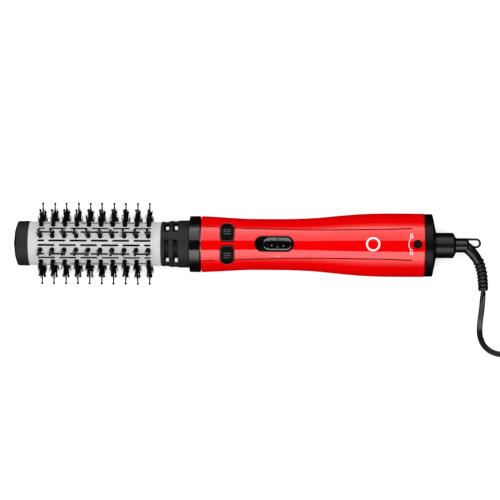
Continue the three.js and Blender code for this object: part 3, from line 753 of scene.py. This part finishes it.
def plug_body():
    flank = [(4, PLUG_REAR), (5.2, -8), (9.5, 1), (PLUG_WIDTH / 2, 6), (PLUG_WIDTH / 2, PLUG_FRONT)]
    mirrored = [(-u, v) for u, v in flank]
    outline = mirrored[:1] + flank + mirrored[:0:-1]
    outline = resampled(rounded(outline, 4, 5, closed=True), 1.5)
    half = PLUG_HEIGHT / 2 - 0.05

    def place(u, v, lift):
        return Vector((PLUG_X + u, v, PLUG_HEIGHT / 2 + lift))

    levels = [(2.6, -half), (0.9, 0.35 - half), (0.25, 1.2 - half), (0, 2.6 - half), (0, half - 2.6)]
    levels += [(0.25, half - 1.2), (0.9, half - 0.35), (2.6, half)]
    return cushion(outline, place, levels)


def plug_grips():
    """Raised bars across both flat sides, where the fingers pull."""
    shapes = []
    for z in (0.25, PLUG_HEIGHT - 0.25):
        for i in range(5):
            y = 3.5 + 2.1 * i
            path = [Vector((PLUG_X + x, y, z)) for x in (-7, -6.4, 0, 6.4, 7)]
            shapes.append(swept(path, ellipse(0.55, 0.3, 8), Vector((0, 0, 1))))
    return merged(*shapes)


def plug_pair(profile, y):
    """Two turned pieces side by side that stand out of the plug's front."""
    shapes = []
    for middle in (PLUG_X - PIN_OFFSET, PLUG_X + PIN_OFFSET):
        shapes.append(moved(
            lathe(profile, 24), lambda v, x=middle: Vector((x + v.y, y + v.x, PLUG_HEIGHT / 2 + v.z))
        ))
    return merged(*shapes)


PIN_OFFSET = 9.5
PIN_PROFILE = [(0, 0), (0, 2.0), (18.0, 2.0), (18.7, 1.6), (19.0, 0.9), (19.0, 0)]
SLEEVE_PROFILE = [(-0.2, 0), (-0.2, 2.15), (8.5, 2.15), (8.8, 2.02), (8.8, 0)]
plug = piece("plug_moulding", merged(plug_body(), plug_grips()), "cord_swivel", rubber, ROW,
             45, ("plug",))
pins = piece("plug_pins", plug_pair(PIN_PROFILE, PLUG_FRONT - 0.1), "cord_swivel", nickel, ROW)
sleeves = piece("plug_pin_sleeves", plug_pair(SLEEVE_PROFILE, PLUG_FRONT), "cord_swivel", rubber,
                ROW)


def coil_tie():
    """A hook-and-loop strap round the turns, with its end lapped on top."""
    inner_y = COIL_CENTRE.y + COIL_INNER_R - 3.4
    outer_y = COIL_CENTRE.y + COIL_OUTER_R + 3.1
    corners = [(inner_y, 0.35), (outer_y, 0.35), (outer_y, 12.2), (inner_y, 12.2)]
    loop = [Vector((COIL_CENTRE.x, y, z)) for y, z in rounded(corners, 2.2, 6, closed=True)]
    strap = [(-0.3, -4.5), (0.3, -4.5), (0.3, 4.5), (-0.3, 4.5)]
    lap = [Vector((COIL_CENTRE.x, inner_y + 4 + i, 12.75)) for i in range(8)]
    return merged(
        swept(loop + loop[:1], strap, Vector((1, 0, 0)), caps=False),
        swept(lap, [(v, u) for u, v in strap], Vector((0, 0, 1))),
    )


tie = piece("coil_strap", coil_tie(), "cord_swivel", black_matte, ROW, 50, ("coil_tie",))

# ---------------------------------------------------------------- barrel and its tufts

BARREL_WALL = 0.8


def sector(surface_r, s0, s1, angle, holes, thickness, spacing, lip):
    """One repeat of a turned wall: s runs along X, t is arc length at the radius of BARREL_R."""
    reach = angle * BARREL_R

    def surface(s, t, depth):
        return round_point(s, surface_r(s) - depth, t / BARREL_R)

    along = max(2, round((s1 - s0) / spacing[0]))
    around = max(2, round(reach / spacing[1]))
    outline = panel(s0, s1, 0.0, reach, along, around)
    return wall(outline, holes, surface, thickness, spacing, lip, seams=(0.0, reach))


def barrel_sector():
    """A tenth of the barrel: a row of holes for tufts between two lines of staggered air slots."""
    dash, short_dash, bridge, first, width = 14.6, 5.8, 3.4, 21.6, 1.65
    dashes = 5
    tuft_hole_r = 1.6
    near_t = math.radians(6) * BARREL_R
    far_t = (ROW_ANGLE - math.radians(6)) * BARREL_R
    holes = []
    for i in range(TUFTS):
        holes.append(circle(FIRST_TUFT + i * TUFT_PITCH, ROW_ANGLE / 2 * BARREL_R, tuft_hole_r, 18))
    for i in range(dashes):
        step = i * (dash + bridge)
        holes.append(stadium(first + short_dash + bridge + step + dash / 2, near_t, dash, width, 5))
        holes.append(stadium(first + step + dash / 2, far_t, dash, width, 5))
    holes.append(stadium(first + short_dash / 2, near_t, short_dash, width, 5))
    end = first + dashes * (dash + bridge) + short_dash / 2
    holes.append(stadium(end, far_t, short_dash, width, 5))

    def radius(s):
        edge = min(s - CAP_END, BARREL_END - s)
        return BARREL_R - 0.25 * max(0.0, 1 - edge / 0.5) ** 2

    return sector(radius, CAP_END + 0.1, BARREL_END - 0.15, ROW_ANGLE, holes, BARREL_WALL, (4.0, 1.3), 0.14)


# the barrel's inner faces get painted shade
piece("barrel_tube", repeated_about_x(barrel_sector(), ROWS), "head", ceramic, sharp=30,
      replaces=("barrel_sleeve",), bore=barrel_bore_painted_shade)

GUIDE_R = 14.1
GUIDE_BORE_R = 13.5
GUIDE = [(17, GUIDE_BORE_R), (17, GUIDE_R), (121, GUIDE_R), (121, GUIDE_BORE_R)]
# a dark tube under the barrel whose colour is painted shade seen through the slots
piece("air_guide_shade_liner", lathe(GUIDE, 64, True), "head", barrel_bore_painted_shade)


def pin(x, lean_x, lean_y):
    """A ball-tipped nylon pin standing in +Z."""
    ball_r = 1.1
    top = TIP_R - ball_r
    stations = [(16.2, 0.85), (19.5, 0.78), (27.0, 0.7), (top - 0.5, 0.6)]
    path = [Vector((x + lean_x * (z - 18), lean_y * (z - 18), z)) for z, _ in stations]
    sizes = [r for _, r in stations]
    shaft = swept(path, circle(0, 0, 1.0, 8), Vector((1, 0, 0)), size=lambda share: sizes[round(share * 3)])
    head = ball((x + lean_x * (top - 18), lean_y * (top - 18), top), ball_r, 6, 10)
    return merged(shaft, head)


def hair(x, rng):
    """One bristle of a tuft: a thin tapering strand that leans outwards and bends."""
    turn = rng.uniform(0, 2 * math.pi)
    foot = rng.uniform(0.85, 1.2)
    spread = rng.uniform(0.2, 2.0)
    stray = 1.7 if rng.random() < 0.08 else 1.0
    top = rng.uniform(24.8, 30.2)
    bend = rng.uniform(-0.5, 0.5)
    path = []
    for share in (0.0, 0.35, 0.7, 1.0):
        z = 17.0 + (top - 17.0) * share
        out = foot + spread * stray * share**1.2
        swing = turn + bend * share
        path.append(Vector((x + out * math.cos(swing), out * math.sin(swing), z)))
    thick = rng.uniform(0.2, 0.32)
    return swept(path, circle(0, 0, thick, 3), Vector((1, 0, 0)), size=lambda share: 1.0 - 0.5 * share)


def grommet(x):
    """The moulded eye round a tuft's foot."""
    section = rounded([(-0.6, 1.25), (-0.6, 2.1), (0.6, 2.1), (0.6, 1.25)], 0.35, 3, closed=True)
    return moved(lathe(section, 20, True), lambda v: Vector((x + v.y, v.z, BARREL_R + 0.05 + v.x)))


HAIRS = 40
RAIL_Z = 15.75
RAIL_SECTION = rounded([(-2, -1), (2, -1), (2, 1), (-2, 1)], 0.5, 3, closed=True)
for row in range(ROWS):
    rng = random.Random(4100 + row)
    stem_shapes, hair_shapes = [], []
    for i in range(TUFTS):
        x = FIRST_TUFT + i * TUFT_PITCH
        stem_shapes += [pin(x, rng.uniform(-0.02, 0.02), rng.uniform(-0.015, 0.015)), grommet(x)]
        hair_shapes += [hair(x, rng) for _ in range(HAIRS)]
    x0, x1 = FIRST_TUFT - 3.2, FIRST_TUFT + (TUFTS - 1) * TUFT_PITCH + 3.2
    rail = swept([Vector((x0, 0, RAIL_Z)), Vector((x1, 0, RAIL_Z))], RAIL_SECTION, Vector((0, 0, 1)))
    turn = -(row + 0.5) * ROW_ANGLE
    label = f"{row + 1:02d}"
    piece(f"pins_{label}", turned_about_x(merged(rail, *stem_shapes), turn), "head", nylon,
          replaces=(f"bristle_strip_{label}",))
    piece(f"bristles_{label}", turned_about_x(merged(*hair_shapes), turn), "head", bristle,
          sharp=80)

# ---------------------------------------------------------------- end cap and collar

CAP_OUTSIDE = [(0.75, 5.6), (1.35, 13.2), (3.4, CAP_R - 0.15), (CAP_END, CAP_R), (CAP_END, 17.2), (17, 17.2)]
CAP_INSIDE = [(17, 15), (6, 15), (6, 4.4), (11, 4.4), (11, 2), (2.2, 2), (2.2, 5.6)]
piece("end_cap_moulding", lathe(rounded(CAP_OUTSIDE + CAP_INSIDE, 0.9, 5, closed=True), 128, True), "head",
      black_matte, replaces=("end_cap",))
DISC = [(2.1, 0), (2.1, 5.35), (0.7, 5.35), (0.05, 4.4), (-0.35, 3.2), (-0.45, 0)]
piece("end_cap_badge", lathe(rounded(DISC, 0.3, 4), 96), "head", black_matte,
      replaces=("end_cap_disc",))

COLLAR_START = 125.65
COLLAR_BACK = 156.0
collar_r = smooth_function(
    [(COLLAR_START, 18.8), (129, 19.15), (134, 19.65), (141, 20.05), (149, 20.1), (COLLAR_BACK, 20.1)]
)


def collar_sector():
    """A quarter of the neck, with a wide window in each of its two rows."""
    reach = math.pi / 2 * BARREL_R
    window = math.radians(70) * BARREL_R
    holes = []
    for x in (128.4, 135.9):
        left, right = x, x + 4.1
        low, high = (reach - window) / 2, (reach + window) / 2
        corners = [(left, low), (right, low), (right, high), (left, high)]
        holes.append(resampled(rounded(corners, 0.7, 3, closed=True), 2.0))
    return sector(collar_r, COLLAR_START, COLLAR_BACK, math.pi / 2, holes, 2.1, (2.2, 1.8), 0.2)


collar_spigot = lathe([(121, 15.4), (121, 17.1), (125.8, 17.1), (125.8, 15.4)], 96, True)
COLLAR_TURN = math.radians(70)  # from the top towards -Y, to a rib's middle
NECK_TUBE_R = 12.0


def neck_tube():
    """The inner air tube of the neck, with narrow slits on each side of the shaft."""
    circumference = 2 * math.pi * NECK_TUBE_R
    holes = []
    for degrees in (10.5, 169.5, 187, 353):
        t = math.radians(degrees) * NECK_TUBE_R
        holes.append(stadium(131.3, t, 1.6, 0.8, 3))
        holes.append(stadium(138, t, 3.6, 0.8, 3))

    def surface(s, t, depth):
        return round_point(s, NECK_TUBE_R - depth, t / NECK_TUBE_R)

    outline = panel(122.0, 152.0, 0.0, circumference, 1, 60)
    tube = wall(outline, holes, surface, 0.9, (3, 2), 0.1, seams=(0.0, circumference))
    flange = lathe([(121.2, 11.2), (121.2, 15.6), (122.4, 15.6), (122.4, 11.2)], 96, True)
    return merged(tube, flange)


neck = merged(repeated_about_x(collar_sector(), 4, COLLAR_TURN), collar_spigot, neck_tube())
piece("collar_moulding", neck, "head", black_matte, sharp=30, replaces=("collar",))

RING = [(149.75, 20.6), (149.75, RING_R - 0.1), (158.85, RING_R), (158.85, 12.4), (157, 12.4), (157, 20.6)]
piece("front_ring_trim", lathe(rounded(RING, 0.55, 5, closed=True), 160, True), "handle", black_gloss,
      replaces=("front_ring",))

# ---------------------------------------------------------------- housing

ARC_R = 23.0  # radius that turns angles into the pattern's arc lengths


def on_housing(x, turn, lift):
    """A point at an angle from the top, towards +Y, above the housing's surface."""
    return round_point(x, housing_r(x) + lift, turn)


def button_point(side, u, v, lift):
    """A point over a button's plan: v runs away from the centre line, lift from the housing's surface."""
    r = housing_r(BUTTON_X + u) + lift
    h = math.sqrt(max(r * r - v * v, 0.0))
    y = side * (h * math.sin(BUTTON_ANGLE) + v * math.cos(BUTTON_ANGLE))
    z = h * math.cos(BUTTON_ANGLE) - v * math.sin(BUTTON_ANGLE)
    return Vector((BUTTON_X + u, y, z))


def button_outline(grow):
    """Flat towards the centre line, round away from it."""
    r, near, round_from = BUTTON_HALF_LENGTH, BUTTON_NEAR, 2.9
    flank = [(r - 0.9, near), (r - 0.1, near + 3), (r, round_from)]
    points = [(-u, v) for u, v in reversed(flank)] + flank
    points = points[:1] + rounded(points, 0.8, 3)[1:-1] + points[-1:]
    points += arc(0, round_from, r, 15, 165, 10)
    return offset(resampled(points, 1.0), grow)


def pattern_of_button(side):
    points = []
    for u, v in button_outline(0.4):
        p = button_point(side, u, v, 0)
        points.append((p.x, math.atan2(p.y, p.z) * ARC_R))
    return points


def pattern_of(plan):
    """A plan outline over the top, as pattern points."""
    return [(x, math.asin(y / housing_r(x)) * ARC_R) for x, y in plan]


def housing_surface(s, t, depth):
    return on_housing(s, t / ARC_R, -depth)


def crease_points(x0, x1, side, shift):
    """A parting line's course as pattern points, moved away from the centre line by the shift."""
    steps = max(2, round((x1 - x0) / 3))
    xs = [x0 + (x1 - x0) * i / steps for i in range(steps + 1)]
    return [(x, side * (math.asin(crease_y(x) / housing_r(x)) * ARC_R + shift)) for x in xs]


def crease_depth(p):
    """The parting line's depth, which runs out towards the back."""
    return CREASE_DEPTH * min(1.0, max(0.0, (340 - p[0]) / 12))


SHELL_FRONT = RING_END + 0.12
SHELL_BACK = HOUSING_END - 0.05
SHELL_EDGE = math.pi / 2 * ARC_R - 0.12  # half the width of a half shell's pattern
RIM_INSET = 0.3
RIM_DEPTH = 0.16


def half_shell(holes, spacing, lip, lines=()):
    """Half of the handle's shell, with its rim rounded a little where it meets its neighbours."""
    outline = panel(SHELL_FRONT, SHELL_BACK, -SHELL_EDGE, SHELL_EDGE, 60, 24)
    x0, x1, edge = SHELL_FRONT + RIM_INSET, SHELL_BACK - RIM_INSET, SHELL_EDGE - RIM_INSET
    rim = resampled([(x0, -edge), (x1, -edge), (x1, edge), (x0, edge)], 3.0)
    return wall(outline, holes, housing_surface, WALL, spacing, lip, [*lines, (rim + rim[:1], 0.0)],
                RIM_DEPTH)


def upper_shell():
    holes = [pattern_of_button(1), pattern_of_button(-1)]
    holes.append(pattern_of(stadium(BEZEL_X, 0, BEZEL_LENGTH + 0.1, BEZEL_WIDTH + 0.1, 14)))
    holes.append(pattern_of(circle(KNOB_X, 0, KNOB_R + 0.15, 32)))
    lines = []
    for side in (-1, 1):
        for start, end in CREASE_RUNS:
            for shift in (-CREASE_HALF_WIDTH, CREASE_HALF_WIDTH):
                lines.append((crease_points(start, end, side, shift), crease_depth))
            for shift in (-CREASE_HALF_WIDTH - 0.08, CREASE_HALF_WIDTH + 0.08):
                lines.append((crease_points(start, end, side, shift), 0.0))
    return half_shell(holes, (2.6, 1.3), 0.22, lines)


FLOOR_LIFT = 0.16  # of a parting line's dark floor over the bottom of its crease; the floor's dark colour is painted shade


def parting_lines():
    """The dark floors of the narrow gaps beside the upper panel: strips of painted shade laid in the grooves."""
    shapes = []
    for side in (-1, 1):
        for start, end in CREASE_RUNS:
            path = []
            for x, t in crease_points(start, end - 3, side, 0.0):
                path.append(on_housing(x, t / ARC_R, FLOOR_LIFT - crease_depth((x, t))))
            shapes.append(swept(path, ellipse(CREASE_HALF_WIDTH, 0.08, 8), Vector((0, side * 0.5, 0.87))))
    return merged(*shapes)


SCREWS = [(202.5, 16.4), (202.5, -16.4), (268, 0)]


SCREW_HOLE_R = 2.6


def lower_shell():
    holes = [pattern_of(circle(x, y, SCREW_HOLE_R, 24)) for x, y in SCREWS]
    return turned_about_x(half_shell(holes, (2.6, 1.6), 0.25), math.pi)


def screw_well(x, y):
    """The tube under a screw's hole, cut off just inside the shell's outer face."""
    outer_r = SCREW_HOLE_R + 0.7

    def place(v):
        foot = 0.5 - math.sqrt(housing_r(x + v.y) ** 2 - (y + v.z) ** 2)
        return Vector((x + v.y, y + v.z, foot if v.x < 0.5 else -8.6))

    return moved(lathe([(0, SCREW_HOLE_R), (1, SCREW_HOLE_R), (1, outer_r), (0, outer_r)], 24, True), place)


piece("upper_housing_skin", upper_shell(), "handle", red_gloss, sharp=28,
      replaces=("upper_shell",))
# painted shade: dark strips in the parting-line grooves
piece("upper_parting_lines", parting_lines(), "handle", gap_painted_shade)
piece("lower_housing_skin", merged(lower_shell(), *(screw_well(x, y) for x, y in SCREWS)), "handle",
      red_gloss, sharp=28, replaces=("lower_shell",))

# ---------------------------------------------------------------- controls


def direction_button(side):
    outline = button_outline(0.0)
    levels = [(0, -2.2), (0, BUTTON_PROUD - 0.55), (0.14, BUTTON_PROUD - 0.2), (0.45, BUTTON_PROUD - 0.04)]
    levels += [(0.9, BUTTON_PROUD), (1.5, BUTTON_PROUD)]
    return cushion(outline, lambda u, v, lift: button_point(side, u, v, lift), levels)


def button_grip(side):
    """Three fine bars across the middle of a button: real ridges, their grey partly painted highlight."""
    shapes = []
    for v in (-2.6, -0.7, 1.2):
        path = [button_point(side, u, v, BUTTON_PROUD + 0.03) for u in (-3, -2.7, 0, 2.7, 3)]
        shapes.append(swept(path, ellipse(0.32, 0.2, 8), Vector((0, side * 0.45, 0.9))))
    return merged(*shapes)


def button_edge(side):
    """The fine bright rim round a button's top: a grey line of painted highlight on its bevel."""
    path = [button_point(side, u, v, BUTTON_PROUD - 0.02) for u, v in button_outline(-0.3)]
    return swept(path + path[:1], ellipse(0.17, 0.12, 6), Vector((0, side * 0.45, 0.9)), caps=False)


for side, name in ((-1, "left_button"), (1, "right_button")):
    piece(f"{name}_cap", direction_button(side), name, button_black, replaces=(name,))
    # the grey rim is painted highlight, and the grey of the bars partly so
    piece(f"{name}_grip", merged(button_grip(side), button_edge(side)), name, grip_grey_and_painted_highlight)


def over_top(x, y, lift):
    r = housing_r(x) + lift
    return Vector((x, y, math.sqrt(r * r - y * y)))


def bezel():
    """An oval rim round a sunken floor, slit for the slider's stem."""
    outer = stadium(BEZEL_X, 0, BEZEL_LENGTH - 0.25, BEZEL_WIDTH - 0.25, 18)
    rings = [(0.0, -1.6), (0.0, 0.2), (0.25, 0.48), (0.6, 0.5), (0.95, 0.36), (1.05, 0.1), (1.15, -1.9)]
    verts = [over_top(u, v, lift) for inset, lift in rings for u, v in offset(outer, -inset)]
    rim = verts, bands(len(rings), len(outer), closed=True)
    floor_outline = resampled(offset(outer, -1.0), 2.0)
    slit = stadium(BEZEL_X + 1, 0, 20, 3.2, 6)
    floor_z = 19.2

    def floor_surface(s, t, depth):
        return Vector((s, t, floor_z - depth))

    floor = wall(floor_outline, [slit], floor_surface, 1.0, (2.5, 2.5), 0.15)
    ridges = []
    for i in range(3):
        path = [Vector((x, y, floor_z)) for x, y in arc(SLIDER_X - 6, 0, 7.4 + 1.3 * i, 150, 210, 8)]
        ridges.append(swept(path, ellipse(0.3, 0.4, 8), Vector((0, 0, 1))))
    return merged(rim, floor, *ridges)


def slider():
    """A low oval pad and its stem."""
    pad = stadium(SLIDER_X, 0, SLIDER_LENGTH, SLIDER_WIDTH, 16)
    levels = [(0, -1.0), (0, 0.2), (0.25, 0.55), (0.6, 0.69), (1.1, 0.72)]
    shapes = [cushion(pad, over_top, levels)]
    shapes.append(swept([Vector((SLIDER_X, 0, 18)), Vector((SLIDER_X, 0, 20.6))], ellipse(1.5, 1.1, 12),
                        Vector((0, 1, 0))))
    return merged(*shapes)


piece("switch_bezel_trim", bezel(), "handle", black_gloss, replaces=("switch_bezel",))
piece("slider_cap", slider(), "power_slider", slider_gloss, replaces=("slide_button",))


def slider_dots(spots, r):
    return merged(*(ball(over_top(SLIDER_X + dx, y, 0.72), r, 8, 16) for dx, y in spots))


piece("slider_grip_dots", slider_dots([(-4.9, 2.3), (0, 3.6), (5, 2.2)], 0.75), "power_slider", button_black)
piece("slider_light_dots", slider_dots([(-4.9, -1.5), (0, -2.5), (5, -1.7)], 0.5), "power_slider", dot_grey)


def lock_knob():
    """A round head with a screwdriver slot across it."""
    top, slot_half = 27.75, 0.55
    disc = resampled(circle(0, 0, KNOB_R, 40), 1.0)
    slot = [(-2.9, -slot_half), (2.9, -slot_half), (2.9, slot_half), (-2.9, slot_half)]
    slot = resampled(rounded(slot, 0.4, 3, closed=True), 0.6)
    brim = offset(disc, -0.3)
    face = wall(disc, [slot], lambda s, t, depth: Vector((s, t, -depth)), 1.1, (1.2, 1.2), 0.12,
                [(brim + brim[:1], 0.0)], 0.3)
    base = lathe([(-4, 0), (-4, KNOB_R), (-1.0, KNOB_R), (-1.0, 0)], 40)
    stem = lathe([(-8.7, 0), (-8.7, 1.5), (-4, 1.5), (-4, 0)], 20)
    shank = moved(merged(base, stem), lambda v: Vector((v.y, v.z, v.x)))
    turn = Matrix.Rotation(math.radians(50), 4, "Z")
    return moved(merged(face, shank), lambda v: turn @ v + Vector((KNOB_X, 0, top)))


piece("lock_knob_head", lock_knob(), "lock_knob", black_satin, sharp=30,
      replaces=("lock_knob",))

# ---------------------------------------------------------------- printed marks, all generic

PRINT_LIFT = 0.04


def printed(outline, holes=()):
    """A thin layer of ink over the top of the housing."""

    def surface(s, t, depth):
        return over_top(s, t, PRINT_LIFT - depth)

    fine_holes = [resampled(hole, 1.0) for hole in holes]
    return wall(resampled(outline, 1.0), fine_holes, surface, 0.08, (1.5, 1.5), 0.01)


def stroke(points, width):
    """The outline of an open line drawn with a pen of that width."""
    left, right = [], []
    for i, p in enumerate(points):
        ahead, behind = Vector(points[min(i + 1, len(points) - 1)]), Vector(points[max(i - 1, 0)])
        along = (ahead - behind).normalized()
        left.append((p[0] - along.y * width / 2, p[1] + along.x * width / 2))
        right.append((p[0] + along.y * width / 2, p[1] - along.x * width / 2))
    return left + right[::-1]


def padlock(cx, cy, opened):
    """A tiny padlock in outline, its shackle towards +Y, shut or lifted out."""
    body = rounded([(cx - 1.3, cy - 2.2), (cx + 1.3, cy - 2.2), (cx + 1.3, cy), (cx - 1.3, cy)], 0.4, 2, True)
    lift = 0.5 if opened else 0.0
    shackle = [(cx - 0.8, cy), *arc(cx, cy + 0.8 + lift, 0.8, 180, 0, 8)]
    if not opened:
        shackle.append((cx + 0.8, cy))
    return merged(printed(body, [offset(body, -0.45)]), printed(stroke(shackle, 0.42)))


marks = [
    printed(stroke(arc(KNOB_X, 0, 7.4, 140, 220), 0.55)),
    padlock(KNOB_X - 5.1, 7.4, False),
    padlock(KNOB_X - 5.1, -6.6, True),
    printed(circle(304.5, 0, 5.9, 48), [circle(304.5, 0, 4.5, 48)[::-1]]),
]
for i in range(3):
    marks.append(printed(circle(SLIDER_X - 5 + 3 * i, -10.4, 0.32 + 0.06 * i, 16)))
piece("printed_marks", merged(*marks), "handle", print_white, sharp=60)

# ---------------------------------------------------------------- back end


def rear_cover():
    """The intake cover: a rim, then a shallow cone with radial slots."""
    slots = 16
    angle = 2 * math.pi / slots
    stations = rounded([(HOUSING_END + 0.15, COVER_R), (COVER_RIM_END, COVER_R), (COVER_END, 11.2)], 0.9, 6)
    lengths = [0.0]
    for a, b in zip(stations, stations[1:]):
        lengths.append(lengths[-1] + math.dist(a, b))
    x_at = smooth_function([(s, p[0]) for s, p in zip(lengths, stations)])
    r_at = smooth_function([(s, p[1]) for s, p in zip(lengths, stations)])
    total = lengths[-1]
    reach = angle * BARREL_R

    def surface(s, t, depth):
        on_rim = s < COVER_RIM_END - HOUSING_END - 1
        x = x_at(s) - (0.0 if on_rim else depth * 0.9)
        r = r_at(s) - (depth if on_rim else depth * 0.35)
        return round_point(x, r, t / BARREL_R)

    outline = panel(0.0, total, 0.0, reach, 22, 6)
    slot = stadium(total - 8.6, reach / 2, 9.5, 1.6, 6)
    shape = wall(outline, [slot], surface, 1.5, (1.3, 1.2), 0.15, seams=(0.0, reach))
    skirt = lathe([(346.2, 24.2), (346.2, 24.6), (349, 24.6), (349, 24.2)], 96, True)
    return merged(repeated_about_x(shape, slots), skirt)


piece("rear_cover_moulding", rear_cover(), "rear_cover", cover_satin, sharp=30,
      replaces=("rear_cover",))


def swivel_hub():
    profile = [(328, 3.6), (328, 9.6), (331.9, 9.6), (331.9, 7), (336.6, 7), (HUB_START, HUB_R)]
    profile += [(372.9, HUB_R), (HUB_END, 6.7), (HUB_END, STUB_R + 0.3), (366, STUB_R + 0.3), (366, 3.6)]
    return lathe(rounded(profile, 0.4, 4, closed=True), 96, True)


piece("swivel_hub_moulding", swivel_hub(), "cord_swivel", black_satin,
      replaces=("swivel_hub",))

# ---------------------------------------------------------------- floor and light


def floor():
    mesh = bpy.data.meshes.new("floor")
    half = 4.0
    corners = [(-half, -half, 0), (half, -half, 0), (half, half, 0), (-half, half, 0)]
    mesh.from_pydata(corners, [], [(0, 1, 2, 3)])
    obj = bpy.data.objects.new("floor", mesh)
    bpy.context.scene.collection.objects.link(obj)
    mat = grain(material("floor_white", (0.84, 0.84, 0.84), 0.85, specular=0.1), 3, 0.01, 0.05)
    shader = mat.node_tree.nodes["Principled BSDF"]
    shader.inputs["Emission Color"].default_value = (1, 1, 1, 1)
    shader.inputs["Emission Strength"].default_value = 0.45
    mesh.materials.append(mat)
    return obj


def softbox(name, direction, distance, size, power, diffuse, glossy):
    """A rectangular light at an angle from overhead, towards +Y, long in X, aimed at the brush."""
    light = bpy.data.lights.new(name, "AREA")
    light.shape = "RECTANGLE"
    light.size, light.size_y = size
    light.energy = power
    obj = bpy.data.objects.new(name, light)
    turn = math.radians(direction)
    obj.location = (0, distance * math.sin(turn), 0.03 + distance * math.cos(turn))
    obj.rotation_euler = (-turn, 0, 0)
    obj.visible_diffuse = diffuse
    obj.visible_glossy = glossy
    obj.visible_camera = False
    bpy.context.scene.collection.objects.link(obj)


def curved_screen(name, levels):
    """Strips of light on an arc beside the brush, seen only in its gloss, from (degrees, radiance) levels."""
    distance, length, step = 1.2, 2.4, 4.0
    angles = [angle for angle, _ in levels]
    count = round((angles[-1] - angles[0]) / step)
    span = (angles[-1] - angles[0]) / count
    width = 2 * distance * math.tan(math.radians(span / 2))
    for i in range(count):
        angle = angles[0] + span * (i + 0.5)
        radiance = float(np.interp(angle, angles, [level for _, level in levels]))
        softbox(f"{name}_{i + 1:02d}", angle, distance, (length, width), radiance * math.pi * length * width,
                False, True)


floor_plane = floor()
floor_plane.visible_glossy = False

world = bpy.data.worlds.new("studio")
bpy.context.scene.world = world
world.use_nodes = True
world.node_tree.nodes["Background"].inputs["Color"].default_value = (1, 1, 1, 1)
world.node_tree.nodes["Background"].inputs["Strength"].default_value = 0.4
world.cycles_visibility.glossy = False

UPPER_BAND = [(14.5, 0.8), (25, 0.9), (38, 1.1), (53, 1.45), (65, 1.85), (69, 0.9), (74, 0.3), (86, 0.03)]
LOWER_BAND = [(-90, 0.02), (-82, 0.1), (-74, 0.35), (-68, 0.7), (-58, 1.4), (-47, 1.9), (-25.5, 2.0)]
softbox("key", direction=0, distance=1.3, size=(1.8, 1.2), power=21, diffuse=True, glossy=False)
curved_screen("upper_band", UPPER_BAND)
curved_screen("lower_band", LOWER_BAND)

bpy.context.scene.view_settings.view_transform = "Standard"
